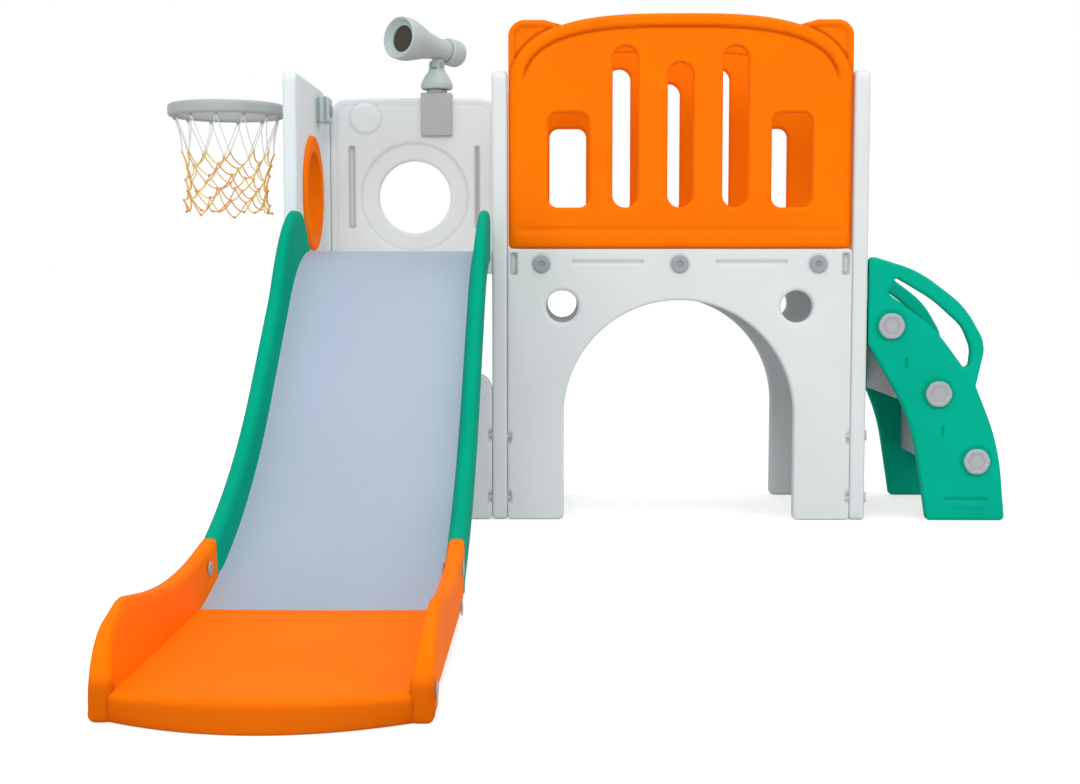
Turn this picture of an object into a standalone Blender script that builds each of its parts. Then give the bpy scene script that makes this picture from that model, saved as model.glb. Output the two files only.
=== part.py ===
"""Toddler play structure: slide tower, crawl tunnel, climber, hoop and telescope.

Metres, +Z up. X runs from the hoop to the climber, Y from the slide's exit to the
back of the tower, and Z = 0 is the floor. The set is drawn from the middle frame's
centre plane (X = 0) and the front plane of the posts (Y = 0). The root empty then
moves it so that the centre of its footprint is the world origin.
"""
import math

import bmesh
import bpy
from mathutils import Matrix, Vector

# Fits
CLEAR = 0.0003           # gap between faces that touch
WELD = 1e-6
ARC_ERROR = 0.0011       # largest distance from an arc to its chords

# Tower and tunnel
DEPTH = 0.430            # front plane to back plane
TOWER_CLEAR = 0.432      # left panel to middle frame
TUNNEL_CLEAR = 0.765     # middle frame to right frame
FRAME_T = 0.034          # thickness of a doorway frame
WALL_T = 0.030           # thickness of a moulded panel
FRAME_H = 0.998
DECK_Z = 0.600           # top of both decks
DECK_T = 0.050
EDGE = 0.005             # edge taken off a moulded panel
POST_W = 0.058           # width of a frame's posts above the deck
LEG_W = 0.070            # width of the legs beside a low archway
ARCHWAY_TOP = 0.500
CORNER_R = 0.024         # rounding of a frame's top corners
FOOT_R = 0.010           # rounding of every foot's corners
SILL_R = 0.050           # rounding at the foot of a doorway

MID_L = -FRAME_T / 2
MID_R = FRAME_T / 2
RIGHT_L = MID_R + TUNNEL_CLEAR
RIGHT_R = RIGHT_L + FRAME_T
LEFT_IN = MID_L - TOWER_CLEAR
LEFT_OUT = LEFT_IN - WALL_T
TOWER_X = (LEFT_IN + MID_L) / 2
TUNNEL_X = (MID_R + RIGHT_L) / 2
FRONT_Y = WALL_T / 2
BACK_Y = DEPTH - WALL_T / 2

# Tunnel panels
PANEL_TOP = 0.606
ARCH_R = 0.2565
ARCH_Z = 0.2355          # height of the arch's centre
ARCH_FOOT_R = 0.012
PEEP_R = 0.0355          # round peep holes
PEEP_DX = 0.2605
PEEP_Z = 0.478
GROOVE_L = 0.160         # pressed lines between the bolts
GROOVE_W = 0.006
GROOVE_DEEP = 0.002
GROOVE_DX = 0.159
GROOVE_Z = 0.577

# Bolts through the tunnel panels into the deck
BOLT_DX = 0.3065
BOLT_Z = 0.572
BOLT_HEAD_R = 0.019
BOLT_HEAD_T = 0.006
BOLT_R = 0.006
BOLT_GRIP = 0.025        # length of shank inside the deck
BOLT_SOCKET_R = 0.007
BOLT_SOCKET_DEEP = 0.003

# Pegs that cross a post and join what stands on both sides of it
PEG_R = 0.008
PEG_REACH = 0.022        # how far a peg enters a panel
PEG_HEAD_R = 0.012
PEG_HEAD_T = 0.004
PEG_ZS = (0.050, 0.190)

# Tabs on a piece's ends that sit in slots of the frames
TAB_DEEP = 0.010
TAB_T = 0.012
TAB_H = 0.040

# Railings
RAIL_T = 0.026
RAIL_TOP = 1.121
RAIL_BOW = 0.200         # height of the bowed top
RAIL_POWER = 3.0         # squareness of the bow: an ellipse has 2
RAIL_STEPS = 10          # chords in half the bow
EAR_TOP = 1.107
EAR_R = 0.036
EAR_DX = 0.300           # where the ear's flat top ends, from the middle
RIM_W = 0.028            # raised band along the bow
RIM_PROUD = 0.004
RIM_INSET = 0.0065       # raised bands stay clear of the railing's own edges
SILL_H = 0.040           # raised band along the bottom
WINDOW_W = 0.090
WINDOW_DX = 0.247
WINDOW_TOP = 0.905
WINDOW_R = 0.022
SLOT_W = 0.056
SLOT_DX = 0.1215
SLOT_TOP = 1.050
MID_SLOT_TOP = 1.014
OPENING_FOOT = 0.697
RAIL_TAB_ZS = (0.690, 0.900)

# Tower back and left panels
CORNER_POST_W = 0.016    # post inside the left panel that carries the back panel
POST_EDGE = 0.003
POST_X = LEFT_IN + CORNER_POST_W
BACK_X = (POST_X + MID_L) / 2
BACK_TOP = 0.980
BACK_R = 0.045
PORT_Z = 0.7385          # height of both portholes
PORT_R = 0.0885
PORT_SEAT_R = 0.134      # shallow seat round the back porthole
PORT_SEAT_DEEP = 0.003
BACK_GROOVE_DX = 0.157
BACK_GROOVE_W = 0.016
BACK_GROOVE_H = 0.200
BACK_GROOVE_Z = 0.762
BACK_GROOVE_DEEP = 0.005
DISC_X = -0.120          # plain round boss, from the back panel's middle
DISC_Z = 0.919
DISC_R = 0.040
DISC_PROUD = 0.0025
BACK_TAB_ZS = (0.660, 0.860)

# Porthole ring in the left panel
RING_R = 0.134
RING_LIP = 0.008         # thickness of the ring's flange
RING_SLEEVE_T = 0.008
RING_HOLE_R = 0.096
RING_SIDES = 32          # flats on the ring and on its hole

# Low panel under the tower's front
LOW_TOP = 0.330
LOW_R = 0.040

# Slide
SLIDE_SIDE_GAP = 0.001
SLIDE_RAIL_T = 0.035
BED_T = 0.020
BED_FILLET = 0.015
LIP_L = 0.030            # flat start of the bed
CREST_R = 0.420
SLOPE = math.radians(40)
STRAIGHT_L = 0.300
RUNOUT_R = 1.200
RUNOUT_END = math.radians(9.5)
PATH_STEP = 0.060        # longest chord along the bed
SIDE_LOW = 0.030         # side rail below the bed's surface
SIDE_UP = 0.042          # side rail above the bed's surface
SIDE_CREST = 0.088       # the same beside the crest
SIDE_CREST_R = 0.040
SIDE_SINK = (0.100, 0.390)  # path lengths between which the crest sinks to SIDE_UP
SIDE_STEPS = 16
SIDE_END = math.radians(16)  # slope of the bed where the side rails end
SIDE_EDGE = 0.010
TONGUE_L = 0.012         # tongue of the bed in the tower deck

# Slide exit
EXIT_L = 1.600           # front of the cheeks, from the tower's front plane
EXIT_BOW = 0.048         # how far the tray's front bows out past the cheeks
TRAY_BACK_L = 1.040
TRAY_TOP = 0.038
TRAY_ROLL = 0.012        # rounding of the tray's edges
TRAY_ROOT = 0.005        # depth to which the tray is sunk in the cheeks
CHEEK_DIP = (0.385, 0.0955, 0.45)  # distance behind the front, height and rounding
CHEEK_HUMP = (0.145, 0.126, 0.10)
CHEEK_NOSE = (0.0, 0.098, 0.085)
CHEEK_HEEL = (0.080, 0.20)  # corner behind the side rail's end: distance and rounding
CHEEK_LIFT = 0.022       # cheeks' underside above the floor, behind their feet
CHEEK_FOOT_L = 0.060
CHEEK_FOOT_R = 0.014
REBATE = 0.001           # how far the bed's seat and the notches go into the cheeks
NOTCH_W = 0.005
NOTCH_L = 0.030
SIDE_BOLT_HEAD_R = 0.012
SIDE_BOLT_HEAD_T = 0.004
SIDE_BOLT_R = 0.005
SIDE_BOLT_GRIP = 0.020
UPPER_BOLT = (0.065, 0.030)  # path length before the bed's end, height above the bed
LOWER_BOLT = (0.018, 0.034)  # path length before the bed's end, height above the floor
FRONT_BOLT = (0.025, 0.036)  # distance behind the cheeks' front, height above the floor

# Climber
CLIMBER_T = 0.030
CLIMBER_EDGE = 0.006
CLIMBER_TAB_ZS = (0.435, 0.535)
# Corners of the climber's side: distance from the right frame, height and rounding
CLIMBER_CORNERS = (
    (0.000, 0.396, 0.010), (0.000, 0.586, 0.008), (0.045, 0.586, 0.080), (0.130, 0.548, 0.250),
    (0.215, 0.480, 0.200), (0.264, 0.395, 0.075), (0.2436, 0.3013, 0.010), (0.297, 0.170, 0.500),
    (0.313, 0.000, 0.010), (0.139, 0.000, 0.010), (0.103, 0.225, 0.450),
)
# The same of the crescent opening that makes its front edge a handle
HANDLE_CORNERS = (
    (0.062, 0.543, 0.008), (0.145, 0.494, 0.250), (0.212, 0.434, 0.080), (0.232, 0.385, 0.060),
    (0.228, 0.347, 0.010), (0.216, 0.342, 0.006), (0.150, 0.430, 0.300), (0.044, 0.508, 0.010),
)
STEP_RISE = 0.151
STEP_RUN = 0.097
STEP_COUNT = 3
STEP_BOW = 0.010         # how far the middle step stands out of line
STEP_TOP_X = 0.053       # first step cap, from the right frame
STEP_TOP_Z = 0.435
TREAD_T = 0.030
TREAD_BACK = 0.083       # tread behind its cap's centre
TREAD_FRONT = 0.045
RISER_T = 0.018
STEP_EDGE = 0.005
CAP_R = 0.0315
CAP_T = 0.010
CAP_SHANK_R = 0.010
CAP_GRIP = 0.020

# Telescope on the tower's back panel
SCOPE_X = -0.170
CLAMP_W = 0.076
CLAMP_H = 0.093          # front jaw below the panel's top
CLAMP_BACK_H = 0.060
CLAMP_T = 0.012          # thickness of the jaws and the bridge
CLAMP_EDGE = 0.003
KNOB_R = 0.018
KNOB_T = 0.014
KNOB_SCREW_R = 0.005
PIVOT_R = 0.025
PIVOT_H = 0.009
SPIGOT_R = 0.012
SPIGOT_H = 0.018
BELL_R = 0.039
BELL_H = 0.044
NECK_R = 0.021
TILT_UP = 0.060          # tilt pin above the bell's foot
FORK_R = 0.012           # rounded top of the fork's arms
FORK_T = 0.008
FORK_DEEP = 0.016        # slot of the fork below the tilt pin
LUG_T = 0.014
LUG_R = 0.011
TILT_PIN_R = 0.004
RUN_GAP = 0.0008         # play on each side of a moving joint
SCOPE_AXIS_UP = 0.040    # barrel axis above the tilt pin
PAN_REST = math.radians(-38)
TILT_REST = math.radians(5)
HOOD_R = 0.0515
HOOD_MOUTH = 0.140       # mouth of the hood, from the tilt pin
HOOD_SHOULDER = 0.095
HOOD_LIP = 0.006
BEZEL_DEEP = 0.014
WAIST_R = 0.026
BARREL_TAIL = 0.030      # back end of the barrel, from the tilt pin
LENS_R = 0.032
LENS_T = 0.005
LENS_SEAT = 0.022        # floor of the lens seat behind the hood's mouth
EYE_R = 0.033
EYE_L = 0.045
EYE_HOLE_R = 0.020
EYE_HOLE_DEEP = 0.012

# Hoop on the left panel
HOOP_Y = 0.315
HOOP_DOWN = 0.058        # hoop's middle below the left panel's top
HOOP_Z = FRAME_H - HOOP_DOWN
HOOP_R = 0.140
HOOP_GAP = 0.044         # ring to wall
HOOP_BAND_W = 0.022
HOOP_BAND_H = 0.030
HOOP_ARM_W = 0.060
PAD_H = 0.062
PAD_T = 0.012
JAW_T = 0.034
HOOP_SCREW_R = 0.008
HOOP_SCREW_HEAD_R = 0.014
HOOP_SCREW_HEAD_T = 0.004
HOOP_SCREW_GRIP = 0.022
NET_MESHES = 12
NET_LEVELS = 6
NET_DROP = 0.225
NET_TOP_R = 0.126
NET_FOOT_R = 0.100
NET_CORD = 0.0035

# Colour, roughness and metallic value of each material
MATERIALS = {
    "white": ((0.72, 0.75, 0.77), 0.42, 0.0),
    "orange": ((1.00, 0.19, 0.005), 0.38, 0.0),
    "green": ((0.002, 0.46, 0.30), 0.40, 0.0),
    "bed_grey": ((0.38, 0.47, 0.58), 0.40, 0.0),
    "grey": ((0.42, 0.45, 0.47), 0.42, 0.0),
    "step_grey": ((0.45, 0.46, 0.50), 0.45, 0.0),
    "bolt_grey": ((0.35, 0.38, 0.41), 0.35, 0.0),
    "peg_grey": ((0.20, 0.22, 0.22), 0.50, 0.0),
    "lens_dark": ((0.03, 0.03, 0.025), 0.12, 0.0),
    "net_cord": ((0.85, 0.62, 0.30), 0.80, 0.0),
}

# Local x, y and z of a flat outline's plane, as world rows
PLANES = {
    "XZ": Matrix(((1, 0, 0), (0, 0, -1), (0, 1, 0))),
    "YZ": Matrix(((0, 0, 1), (1, 0, 0), (0, 1, 0))),
    "XY": Matrix.Identity(3),
}
AXES = {"X": Vector((1, 0, 0)), "Y": Vector((0, 1, 0)), "Z": Vector((0, 0, 1))}


def clear_scene():
    for old in list(bpy.data.objects):
        bpy.data.objects.remove(old, do_unlink=True)


def collection(name):
    """The collection of that name, made on first use."""
    found = bpy.data.collections.get(name)
    if found is None:
        found = bpy.data.collections.new(name)
        bpy.context.scene.collection.children.link(found)
    return found


def material(name):
    found = bpy.data.materials.get(name)
    if found is None:
        colour, roughness, metallic = MATERIALS[name]
        found = bpy.data.materials.new(name)
        found.use_nodes = True
        shader = found.node_tree.nodes["Principled BSDF"]
        shader.inputs["Base Color"].default_value = (*colour, 1.0)
        shader.inputs["Roughness"].default_value = roughness
        shader.inputs["Metallic"].default_value = metallic
    return found


def add_piece(name, data, finish, parent=None):
    """A new object for a node, in a collection of its own."""
    piece = bpy.data.objects.new(name, data)
    data.materials.append(material(finish))
    collection(name).objects.link(piece)
    piece.parent = parent
    return piece


def add_tool(name, data):
    """A solid that only serves a boolean of another piece."""
    tool = bpy.data.objects.new(name, data)
    tool.hide_render = True
    tool.display_type = "WIRE"
    collection("boolean_tools").objects.link(tool)
    return tool


def combine(piece, tool, operation):
    """Adds a live boolean of the tool to the piece."""
    modifier = piece.modifiers.new(tool.name, "BOOLEAN")
    modifier.object = tool
    modifier.operation = operation
    modifier.solver = "EXACT"
    return piece


def cut(piece, *tools):
    for tool in tools:
        combine(piece, tool, "DIFFERENCE")


def fuse(piece, *tools):
    for tool in tools:
        combine(piece, tool, "UNION")


def arc_steps(radius, sweep):
    """Chords that keep an arc within ARC_ERROR of its circle."""
    step = 2 * math.acos(max(0.0, 1 - ARC_ERROR / radius))
    return max(2, math.ceil(abs(sweep) / step))


def arc(u, v, radius, start, end, steps=None):
    """Points on an arc round (u, v), both ends included; angles in radians."""
    steps = steps or arc_steps(radius, end - start)
    angles = [start + (end - start) * k / steps for k in range(steps + 1)]
    return [Vector((u + radius * math.cos(a), v + radius * math.sin(a))) for a in angles]


def circle(u, v, radius, steps=None):
    return arc(u, v, radius, 0, 2 * math.pi, steps)[:-1]


def rounded(corners):
    """Closed outline through (u, v, radius) corners, with an arc at each rounded one."""
    points = []
    for index, (u, v, radius) in enumerate(corners):
        here = Vector((u, v))
        if radius <= 0:
            points.append(here)
            continue
        before = (Vector(corners[index - 1][:2]) - here).normalized()
        after = (Vector(corners[(index + 1) % len(corners)][:2]) - here).normalized()
        half = before.angle(after) / 2
        centre = here + (before + after).normalized() * radius / math.sin(half)
        first = here + before * radius / math.tan(half) - centre
        start = math.atan2(first.y, first.x)
        turn = -1 if before.x * after.y - before.y * after.x > 0 else 1
        sweep = turn * (math.pi - 2 * half)
        points += arc(centre.x, centre.y, radius, start, start + sweep)
    return without_repeats(points)


def without_repeats(points):
    """The closed outline with neighbours closer than 10 micrometres merged."""
    kept = []
    for point in points:
        if not kept or (point - kept[-1]).length > 1e-5:
            kept.append(point)
    if (kept[0] - kept[-1]).length <= 1e-5:
        kept.pop()
    return kept


def box_outline(u0, u1, v0, v1, radius=0.0):
    return rounded([(u0, v0, radius), (u1, v0, radius), (u1, v1, radius), (u0, v1, radius)])


def signed_area(points):
    return sum(a.x * b.y - b.x * a.y for a, b in zip(points, points[1:] + points[:1])) / 2


def flat_mesh(name, loops, plane, level, thickness, edge):
    """Mesh of a flat outline with holes: a filled 2D curve with its edges taken off.

    The first loop is the outer one. level is the middle of the thickness along
    the plane's normal.
    """
    curve = bpy.data.curves.new(name, "CURVE")
    curve.dimensions = "2D"
    curve.fill_mode = "BOTH"
    curve.extrude = thickness / 2 - edge
    curve.bevel_depth = edge
    curve.bevel_resolution = 0
    curve.offset = -edge
    for index, loop in enumerate(loops):
        anticlockwise = signed_area(loop) > 0
        points = loop if anticlockwise == (index == 0) else loop[::-1]
        spline = curve.splines.new("POLY")
        spline.points.add(len(points) - 1)
        for target, point in zip(spline.points, points):
            target.co = (point.x, point.y, 0, 1)
        spline.use_cyclic_u = True
    holder = bpy.data.objects.new(name, curve)
    bpy.context.scene.collection.objects.link(holder)
    bpy.context.view_layer.update()
    graph = bpy.context.evaluated_depsgraph_get()
    mesh = bpy.data.meshes.new_from_object(holder.evaluated_get(graph))
    bpy.data.objects.remove(holder)
    bpy.data.curves.remove(curve)
    mesh.name = name
    rows = PLANES[plane]
    normal = rows @ Vector((0, 0, 1))
    offset = Vector((abs(normal.x), abs(normal.y), abs(normal.z))) * level
    mesh.transform(Matrix.Translation(offset) @ rows.to_4x4())
    tidy(mesh)
    return mesh


def tidy(mesh):
    """Welds a converted mesh and turns its faces outward."""
    work = bmesh.new()
    work.from_mesh(mesh)
    bmesh.ops.remove_doubles(work, verts=work.verts, dist=WELD)
    bmesh.ops.dissolve_degenerate(work, edges=work.edges, dist=WELD)
    bmesh.ops.recalc_face_normals(work, faces=work.faces)
    work.to_mesh(mesh)
    work.free()


def panel(name, loops, plane, level, thickness, finish, edge=EDGE, parent=None):
    """A moulded panel: a node made of one flat outline."""
    return add_piece(name, flat_mesh(name, loops, plane, level, thickness, edge), finish, parent)


def box_tool(name, low, high):
    """A plain box between two corners, for a boolean."""
    mesh = bpy.data.meshes.new(name)
    work = bmesh.new()
    bmesh.ops.create_cube(work, size=1.0)
    size = Vector(high) - Vector(low)
    bmesh.ops.scale(work, vec=size, verts=work.verts)
    bmesh.ops.translate(work, vec=(Vector(low) + Vector(high)) / 2, verts=work.verts)
    work.to_mesh(mesh)
    work.free()
    return add_tool(name, mesh)


def rod_mesh(name, radius, start, end, sides):
    """A plain cylinder from one point to another."""
    mesh = bpy.data.meshes.new(name)
    work = bmesh.new()
    along = Vector(end) - Vector(start)
    turn = AXES["Z"].rotation_difference(along).to_matrix().to_4x4()
    place = Matrix.Translation((Vector(start) + Vector(end)) / 2) @ turn
    bmesh.ops.create_cone(work, cap_ends=True, segments=sides, radius1=radius, radius2=radius,
                          depth=along.length, matrix=place)
    work.to_mesh(mesh)
    work.free()
    return mesh


def rod_tool(name, radius, start, end, sides=16):
    return add_tool(name, rod_mesh(name, radius, start, end, sides))


def turned(name, profile, origin, along, finish, steps=24, closed=False, parent=None):
    """A turned node: (radius, height) points spun about an axis through origin."""
    mesh = bpy.data.meshes.new(name)
    edges = [(k, k + 1) for k in range(len(profile) - 1)]
    if closed:
        edges.append((len(profile) - 1, 0))
    mesh.from_pydata([(r, 0, h) for r, h in profile], edges, [])
    piece = add_piece(name, mesh, finish, parent)
    piece.location = origin
    piece.rotation_mode = "QUATERNION"
    piece.rotation_quaternion = AXES["Z"].rotation_difference(Vector(along))
    spin = piece.modifiers.new("spin", "SCREW")
    spin.angle = 2 * math.pi
    spin.steps = steps
    spin.render_steps = steps
    spin.use_merge_vertices = True
    spin.merge_threshold = 1e-5
    spin.use_normal_flip = signed_area([Vector(point) for point in profile]) > 0
    spin.use_smooth_shade = False
    return piece


def tab_boxes(x_face, side, y_middle, zs, gap=0.0):
    """Corners of the tabs that stand out of a face, or of their slots with a gap."""
    far = x_face + side * (TAB_DEEP + gap)
    near = x_face - side * TAB_DEEP
    low_x, high_x = min(near, far), max(near, far)
    for z in zs:
        yield ((low_x, y_middle - TAB_T / 2 - gap, z - TAB_H / 2 - gap),
               (high_x, y_middle + TAB_T / 2 + gap, z + TAB_H / 2 + gap))


def add_tabs(piece, left_x, right_x, y_middle, zs):
    """Fuses tabs to both ends of a piece that stands between two frames."""
    for label, x_face, side in (("left", left_x, -1), ("right", right_x, 1)):
        for index, (low, high) in enumerate(tab_boxes(x_face, side, y_middle, zs)):
            fuse(piece, box_tool(f"{piece.name}_tab_{label}_{index}", low, high))


def cut_slots(piece, x_face, side, y_middle, zs, owner):
    """Cuts the slots of a neighbour's tabs into a frame's face."""
    for index, (low, high) in enumerate(tab_boxes(x_face, side, y_middle, zs, CLEAR)):
        cut(piece, box_tool(f"{piece.name}_slot_{owner}_{index}", low, high))


def cut_peg_holes(piece, x0, x1, y):
    """Drills the holes of the pegs at PEG_ZS through or into a piece."""
    for index, z in enumerate(PEG_ZS):
        label = "front" if y < DEPTH / 2 else "back"
        cut(piece, rod_tool(f"{piece.name}_peg_hole_{label}_{index}", PEG_R + CLEAR,
                            (x0, y, z), (x1, y, z), 12))


def doorway_frame(name, x_middle):
    """H-shaped end frame: posts beside an open doorway, and an archway below the deck."""
    outline = rounded([
        (0, 0, FOOT_R), (0, FRAME_H, CORNER_R), (POST_W, FRAME_H, CORNER_R),
        (POST_W, DECK_Z, SILL_R), (DEPTH - POST_W, DECK_Z, SILL_R),
        (DEPTH - POST_W, FRAME_H, CORNER_R), (DEPTH, FRAME_H, CORNER_R), (DEPTH, 0, FOOT_R),
        (DEPTH - LEG_W, 0, FOOT_R), (DEPTH - LEG_W, ARCHWAY_TOP, DEPTH / 2 - LEG_W),
        (LEG_W, ARCHWAY_TOP, DEPTH / 2 - LEG_W), (LEG_W, 0, FOOT_R),
    ])
    return panel(name, [outline], "YZ", x_middle, FRAME_T, "white")


def deck_tongue(x_face, side, gap=0.0):
    """Corners of the tongue along a deck's end, or of its groove with a gap."""
    near = x_face - side * TAB_DEEP
    far = x_face + side * (TAB_DEEP + gap)
    z = DECK_Z - DECK_T / 2
    return ((min(near, far), LEG_W - gap, z - TAB_T / 2 - gap),
            (max(near, far), DEPTH - LEG_W + gap, z + TAB_T / 2 + gap))


def cut_deck_groove(piece, x_face, side, owner):
    cut(piece, box_tool(f"{piece.name}_groove_{owner}", *deck_tongue(x_face, side, CLEAR)))


def middle_frame():
    frame = doorway_frame("middle_frame", 0)
    for y in (FRONT_Y, BACK_Y):
        cut_peg_holes(frame, MID_L - CLEAR, MID_R + CLEAR, y)
        place = "front" if y < DEPTH / 2 else "back"
        cut_slots(frame, MID_R, -1, y, RAIL_TAB_ZS, f"railing_{place}")
    cut_slots(frame, MID_L, 1, BACK_Y, BACK_TAB_ZS, "tower_back")
    cut_deck_groove(frame, MID_L, 1, "tower_deck")
    cut_deck_groove(frame, MID_R, -1, "tunnel_deck")


def right_frame():
    frame = doorway_frame("right_frame", RIGHT_L + FRAME_T / 2)
    for y in (FRONT_Y, BACK_Y):
        cut_peg_holes(frame, RIGHT_L - CLEAR, RIGHT_R + CLEAR, y)
        place = "front" if y < DEPTH / 2 else "back"
        cut_slots(frame, RIGHT_L, 1, y, RAIL_TAB_ZS, f"railing_{place}")
        cut_slots(frame, RIGHT_R, -1, y, CLIMBER_TAB_ZS, f"climber_{place}")
    cut_deck_groove(frame, RIGHT_L, 1, "tunnel_deck")


def tower_left_panel():
    """Side wall with a porthole, an archway below the deck and a post for the back panel."""
    outline = rounded([
        (0, 0, FOOT_R), (0, FRAME_H, CORNER_R), (DEPTH, FRAME_H, CORNER_R), (DEPTH, 0, FOOT_R),
        (DEPTH - LEG_W, 0, FOOT_R), (DEPTH - LEG_W, ARCHWAY_TOP, DEPTH / 2 - LEG_W),
        (LEG_W, ARCHWAY_TOP, DEPTH / 2 - LEG_W), (LEG_W, 0, FOOT_R),
    ])
    window = circle(DEPTH / 2, PORT_Z, RING_HOLE_R + RING_SLEEVE_T + CLEAR, RING_SIDES)
    wall = panel("tower_left_panel", [outline, window], "YZ", LEFT_IN - WALL_T / 2, WALL_T, "white")
    cut_peg_holes(wall, LEFT_OUT - CLEAR, LEFT_IN + CLEAR, FRONT_Y)
    post = box_outline(DEPTH - WALL_T, DEPTH - REBATE, REBATE, BACK_TOP - BACK_R, POST_EDGE)
    fuse(wall, add_tool("corner_post", flat_mesh("corner_post", [post], "YZ", LEFT_IN,
                                                 2 * CORNER_POST_W, POST_EDGE)))
    cut_slots(wall, POST_X, -1, BACK_Y, BACK_TAB_ZS, "tower_back")
    cut_deck_groove(wall, LEFT_IN, -1, "tower_deck")
    cut(wall, rod_tool("hoop_screw_hole", HOOP_SCREW_R + CLEAR,
                       (LEFT_OUT - CLEAR, HOOP_Y, HOOP_Z), (LEFT_IN + CLEAR, HOOP_Y, HOOP_Z)))


def tower_back_panel():
    """Upper back wall with its porthole, pressed seat, grooves and round boss."""
    left, right = POST_X + CLEAR, MID_L - CLEAR
    outline = rounded([(left, DECK_Z - DECK_T, FOOT_R), (right, DECK_Z - DECK_T, FOOT_R),
                       (right, BACK_TOP, BACK_R), (left, BACK_TOP, BACK_R)])
    wall = panel("tower_back_panel", [outline, circle(BACK_X, PORT_Z, PORT_R)],
                 "XZ", BACK_Y, WALL_T, "white")
    inner_y = BACK_Y - WALL_T / 2
    cut(wall, rod_tool("porthole_seat", PORT_SEAT_R, (BACK_X, inner_y - WALL_T, PORT_Z),
                       (BACK_X, inner_y + PORT_SEAT_DEEP, PORT_Z), 40))
    for label, side in (("left", -1), ("right", 1)):
        x = BACK_X + side * BACK_GROOVE_DX
        groove = box_outline(x - BACK_GROOVE_W / 2, x + BACK_GROOVE_W / 2,
                             BACK_GROOVE_Z - BACK_GROOVE_H / 2, BACK_GROOVE_Z + BACK_GROOVE_H / 2,
                             BACK_GROOVE_W / 2 - CLEAR)
        name = f"tower_back_groove_{label}"
        cut(wall, add_tool(name, flat_mesh(name, [groove], "XZ", inner_y, 2 * BACK_GROOVE_DEEP, 0)))
    boss_x = BACK_X + DISC_X
    fuse(wall, rod_tool("tower_back_boss", DISC_R, (boss_x, inner_y - DISC_PROUD, DISC_Z),
                        (boss_x, BACK_Y, DISC_Z), 28))
    add_tabs(wall, left, right, BACK_Y, BACK_TAB_ZS)


def tower_low_panel():
    """Low board between the tower's front feet, under the slide."""
    left, right = LEFT_IN + CLEAR, MID_L - CLEAR
    outline = rounded([(left, 0, FOOT_R), (right, 0, FOOT_R), (right, LOW_TOP, LOW_R),
                       (left, LOW_TOP, LOW_R)])
    board = panel("tower_low_panel", [outline], "XZ", FRONT_Y, WALL_T, "white")
    cut_peg_holes(board, left - CLEAR, left + PEG_REACH + CLEAR, FRONT_Y)
    for index, z in enumerate(PEG_ZS):
        cut(board, rod_tool(f"tower_low_panel_peg_hole_right_{index}", PEG_R + CLEAR,
                            (right - PEG_REACH - CLEAR, FRONT_Y, z), (right + CLEAR, FRONT_Y, z), 12))


def tunnel_panel(name, y_middle, outward):
    """Arched side of the crawl tunnel; outward is -1 on the front and 1 on the back."""
    left, right = MID_R + CLEAR, RIGHT_L - CLEAR
    outline = rounded([
        (left, 0, FOOT_R), (TUNNEL_X - ARCH_R, 0, ARCH_FOOT_R),
        (TUNNEL_X - ARCH_R, ARCH_Z + ARCH_R, ARCH_R), (TUNNEL_X + ARCH_R, ARCH_Z + ARCH_R, ARCH_R),
        (TUNNEL_X + ARCH_R, 0, ARCH_FOOT_R), (right, 0, FOOT_R),
        (right, PANEL_TOP, FOOT_R), (left, PANEL_TOP, FOOT_R),
    ])
    holes = [circle(TUNNEL_X + side * PEEP_DX, PEEP_Z, PEEP_R) for side in (-1, 1)]
    side_wall = panel(name, [outline] + holes, "XZ", y_middle, WALL_T, "white")
    face_y = y_middle + outward * WALL_T / 2
    for index, side in enumerate((-1, 1)):
        x = TUNNEL_X + side * GROOVE_DX
        groove = box_outline(x - GROOVE_L / 2, x + GROOVE_L / 2,
                             GROOVE_Z - GROOVE_W / 2, GROOVE_Z + GROOVE_W / 2)
        tool = f"{name}_groove_{index}"
        cut(side_wall, add_tool(tool, flat_mesh(tool, [groove], "XZ", face_y, 2 * GROOVE_DEEP, 0)))
    for index, x in enumerate(bolt_xs()):
        cut(side_wall, rod_tool(f"{name}_bolt_hole_{index}", BOLT_R + CLEAR,
                                (x, y_middle - WALL_T, BOLT_Z), (x, y_middle + WALL_T, BOLT_Z), 12))
    cut_peg_holes(side_wall, left - CLEAR, left + PEG_REACH + CLEAR, y_middle)
    for index, z in enumerate(PEG_ZS):
        cut(side_wall, rod_tool(f"{name}_peg_hole_right_{index}", PEG_R + CLEAR,
                                (right - PEG_REACH - CLEAR, y_middle, z),
                                (right + CLEAR, y_middle, z), 12))


def bolt_xs():
    return [TUNNEL_X + side * BOLT_DX for side in (-1, 0, 1)]


def bow(half_width, height, foot):
    """Bowed top of a railing, right to left: |u/a|^p + |v/b|^p = 1, as angles of the curve."""
    points = []
    for k in range(2 * RAIL_STEPS + 1):
        angle = math.pi * k / (2 * RAIL_STEPS)
        c, s = math.cos(angle), math.sin(angle)
        points.append(Vector((TUNNEL_X + half_width * math.copysign(abs(c) ** (2 / RAIL_POWER), c),
                              foot + height * abs(s) ** (2 / RAIL_POWER))))
    return points


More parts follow.
